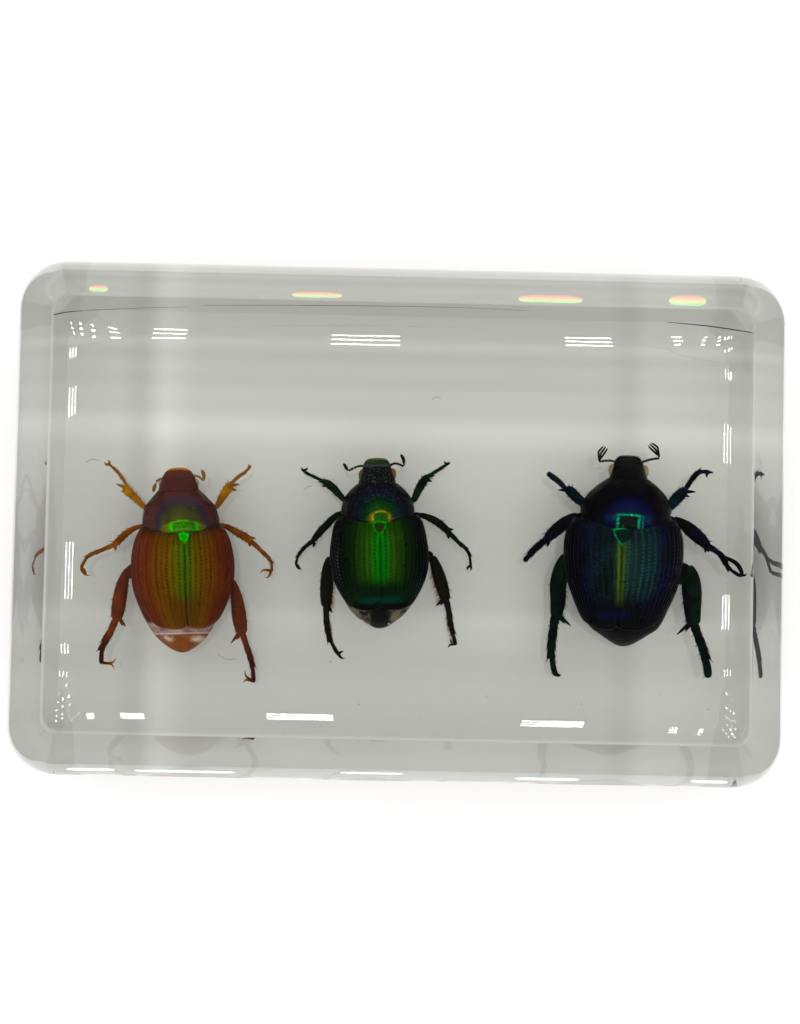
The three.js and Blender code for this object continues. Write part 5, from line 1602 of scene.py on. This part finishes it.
# Lamplight bent through the rim throws short rainbows onto its far slope and white glints along
# its near foot. Each is a small oval sheet that only the polish mirrors: (place, size, up).
far_up = Vector((0, 0.466, 0.884))
flat_up = Vector((0, 1, 0))
glints = {
    "rainbows": [((-38.3, 51.6, 9.0), (2.4, 1.0), far_up), ((-10.7, 51.6, 9.25), (6.4, 0.9), far_up),
                 ((18.8, 51.6, 9.15), (8.2, 1.25), far_up), ((36.2, 51.6, 8.9), (4.8, 1.5), far_up)],
    "glints": [((-37.4, -43.5, 0.4), (6.0, 6.5), flat_up), ((-25.7, -43.0, 0.4), (12.5, 5.5), flat_up),
               ((-2.6, -46.5, 0.4), (8.0, 5.0), flat_up), ((19.2, -42.0, 0.4), (8.0, 6.0), flat_up),
               ((39.4, -43.0, 0.4), (4.6, 7.0), flat_up)],
}
glint_stops = {
    "rainbows": [(0.0, (0.0, 0.0, 0.0)), (0.18, (1.0, 0.16, 0.1)), (0.42, (1.0, 0.62, 0.2)),
                 (0.6, (0.8, 1.0, 0.24)), (0.8, (0.3, 1.0, 0.34)), (1.0, (0.0, 0.0, 0.0))],
    "glints": [(0.0, (0.0, 0.0, 0.0)), (0.2, (0.5, 0.8, 1.0)), (0.4, (1.0, 1.0, 1.0)),
               (0.65, (1.0, 1.0, 1.0)), (0.82, (1.0, 0.6, 0.7)), (1.0, (0.0, 0.0, 0.0))],
}
glint_glow = {"rainbows": 4.2, "glints": 5.0}
for name, sheets in glints.items():
    glint_form = bmesh.new()
    glint_map = glint_form.loops.layers.uv.new("band")
    for place, (width, height), upward in sheets:
        made = bmesh.ops.create_circle(glint_form, cap_ends=True, segments=24, radius=0.5)["verts"]
        for vert in made:
            for loop in vert.link_loops:
                loop[glint_map].uv = (vert.co.x + 0.5, vert.co.y + 0.5)
        for vert in made:
            spread = Vector((vert.co.x * width, 0, 0)) + upward * (vert.co.y * height)
            vert.co = (Vector(place) + spread) * mm
    glow = glowing_sheet(name, glint_form, glint_glow[name])
    colour = glow.linear_ramp(glow.surface_uv("band")[1], glint_stops[name], "LINEAR")
    glow.join(colour, glow.shader.inputs["Color"])

# low dark walls out beyond the block, which only its polished rim mirrors
wall_places = (54 * mm, 54 * mm)
wall_height = 19 * mm
wall_glow = 0.4
walls = bmesh.new()
for side in (-1, 1):
    for across_x in (True, False):
        made = bmesh.ops.create_grid(walls, x_segments=1, y_segments=1, size=0.5)["verts"]
        for vert in made:
            reach, rise = 2 * vert.co.x, (vert.co.y + 0.5) * wall_height
            if across_x:
                vert.co = (side * wall_places[0], reach * wall_places[1], rise)
            else:
                vert.co = (reach * wall_places[0], side * wall_places[1], rise)
glowing_sheet("walls", walls, wall_glow)

# the camera's own dark front, which the flat of the block mirrors back to it
shade_height = 1.6
shade_size = (0.9, 0.75)
shade_place = (0.021, 0.086)
# it is darkest inside the first share of its size, and as bright as it gets beyond the second
shade_edge = (0.85, 1.7)
shade_dark, shade_bright = 0.03, 1.6
shade = bmesh.new()
bmesh.ops.create_grid(shade, x_segments=1, y_segments=1, size=1.6)
bmesh.ops.translate(shade, vec=(*shade_place, shade_height), verts=shade.verts)
glow = glowing_sheet("shade", shade, 1.0)
spread = glow.node("ShaderNodeMapping", vector_type="TEXTURE")
spread.inputs["Location"].default_value = (*shade_place, shade_height)
spread.inputs["Scale"].default_value = (*shade_size, 1)
glow.join(glow.object_place(), spread.inputs["Vector"])
reach = glow.node("ShaderNodeVectorMath", operation="LENGTH")
glow.join(spread.outputs[0], reach.inputs[0])
edge = glow.clamp(reach.outputs["Value"], *shade_edge)
glow.join(shade_dark + edge * (shade_bright - shade_dark), glow.shader.inputs["Strength"])

# Camera: a long lens nearly straight over the block, leaning a few degrees from its near side,
# so that all four slopes of the rim are seen.
camera_data = bpy.data.cameras.new("camera")
camera_data.sensor_fit = "HORIZONTAL"
camera_data.sensor_width = 36
camera_data.lens = 100.34
camera_data.clip_start = 0.01
camera = bpy.data.objects.new("camera", camera_data)
camera_place = Vector((-3.23, -13.44, 273.3)) * mm
camera_aim = Vector((-0.07, 0.74, 23.7)) * mm
camera_roll = math.radians(1.165)
back = (camera_place - camera_aim).normalized()
right = Vector((0, 1, 0)).cross(back).normalized()
up = back.cross(right)
turned_right = right * math.cos(camera_roll) + up * math.sin(camera_roll)
turned_up = up * math.cos(camera_roll) - right * math.sin(camera_roll)
camera.matrix_world = Matrix(
    (
        (turned_right.x, turned_up.x, back.x, camera_place.x),
        (turned_right.y, turned_up.y, back.y, camera_place.y),
        (turned_right.z, turned_up.z, back.z, camera_place.z),
        (0, 0, 0, 1),
    )
)
bpy.context.collection.objects.link(camera)
bpy.context.scene.camera = camera
bpy.context.scene.view_settings.view_transform = "Standard"
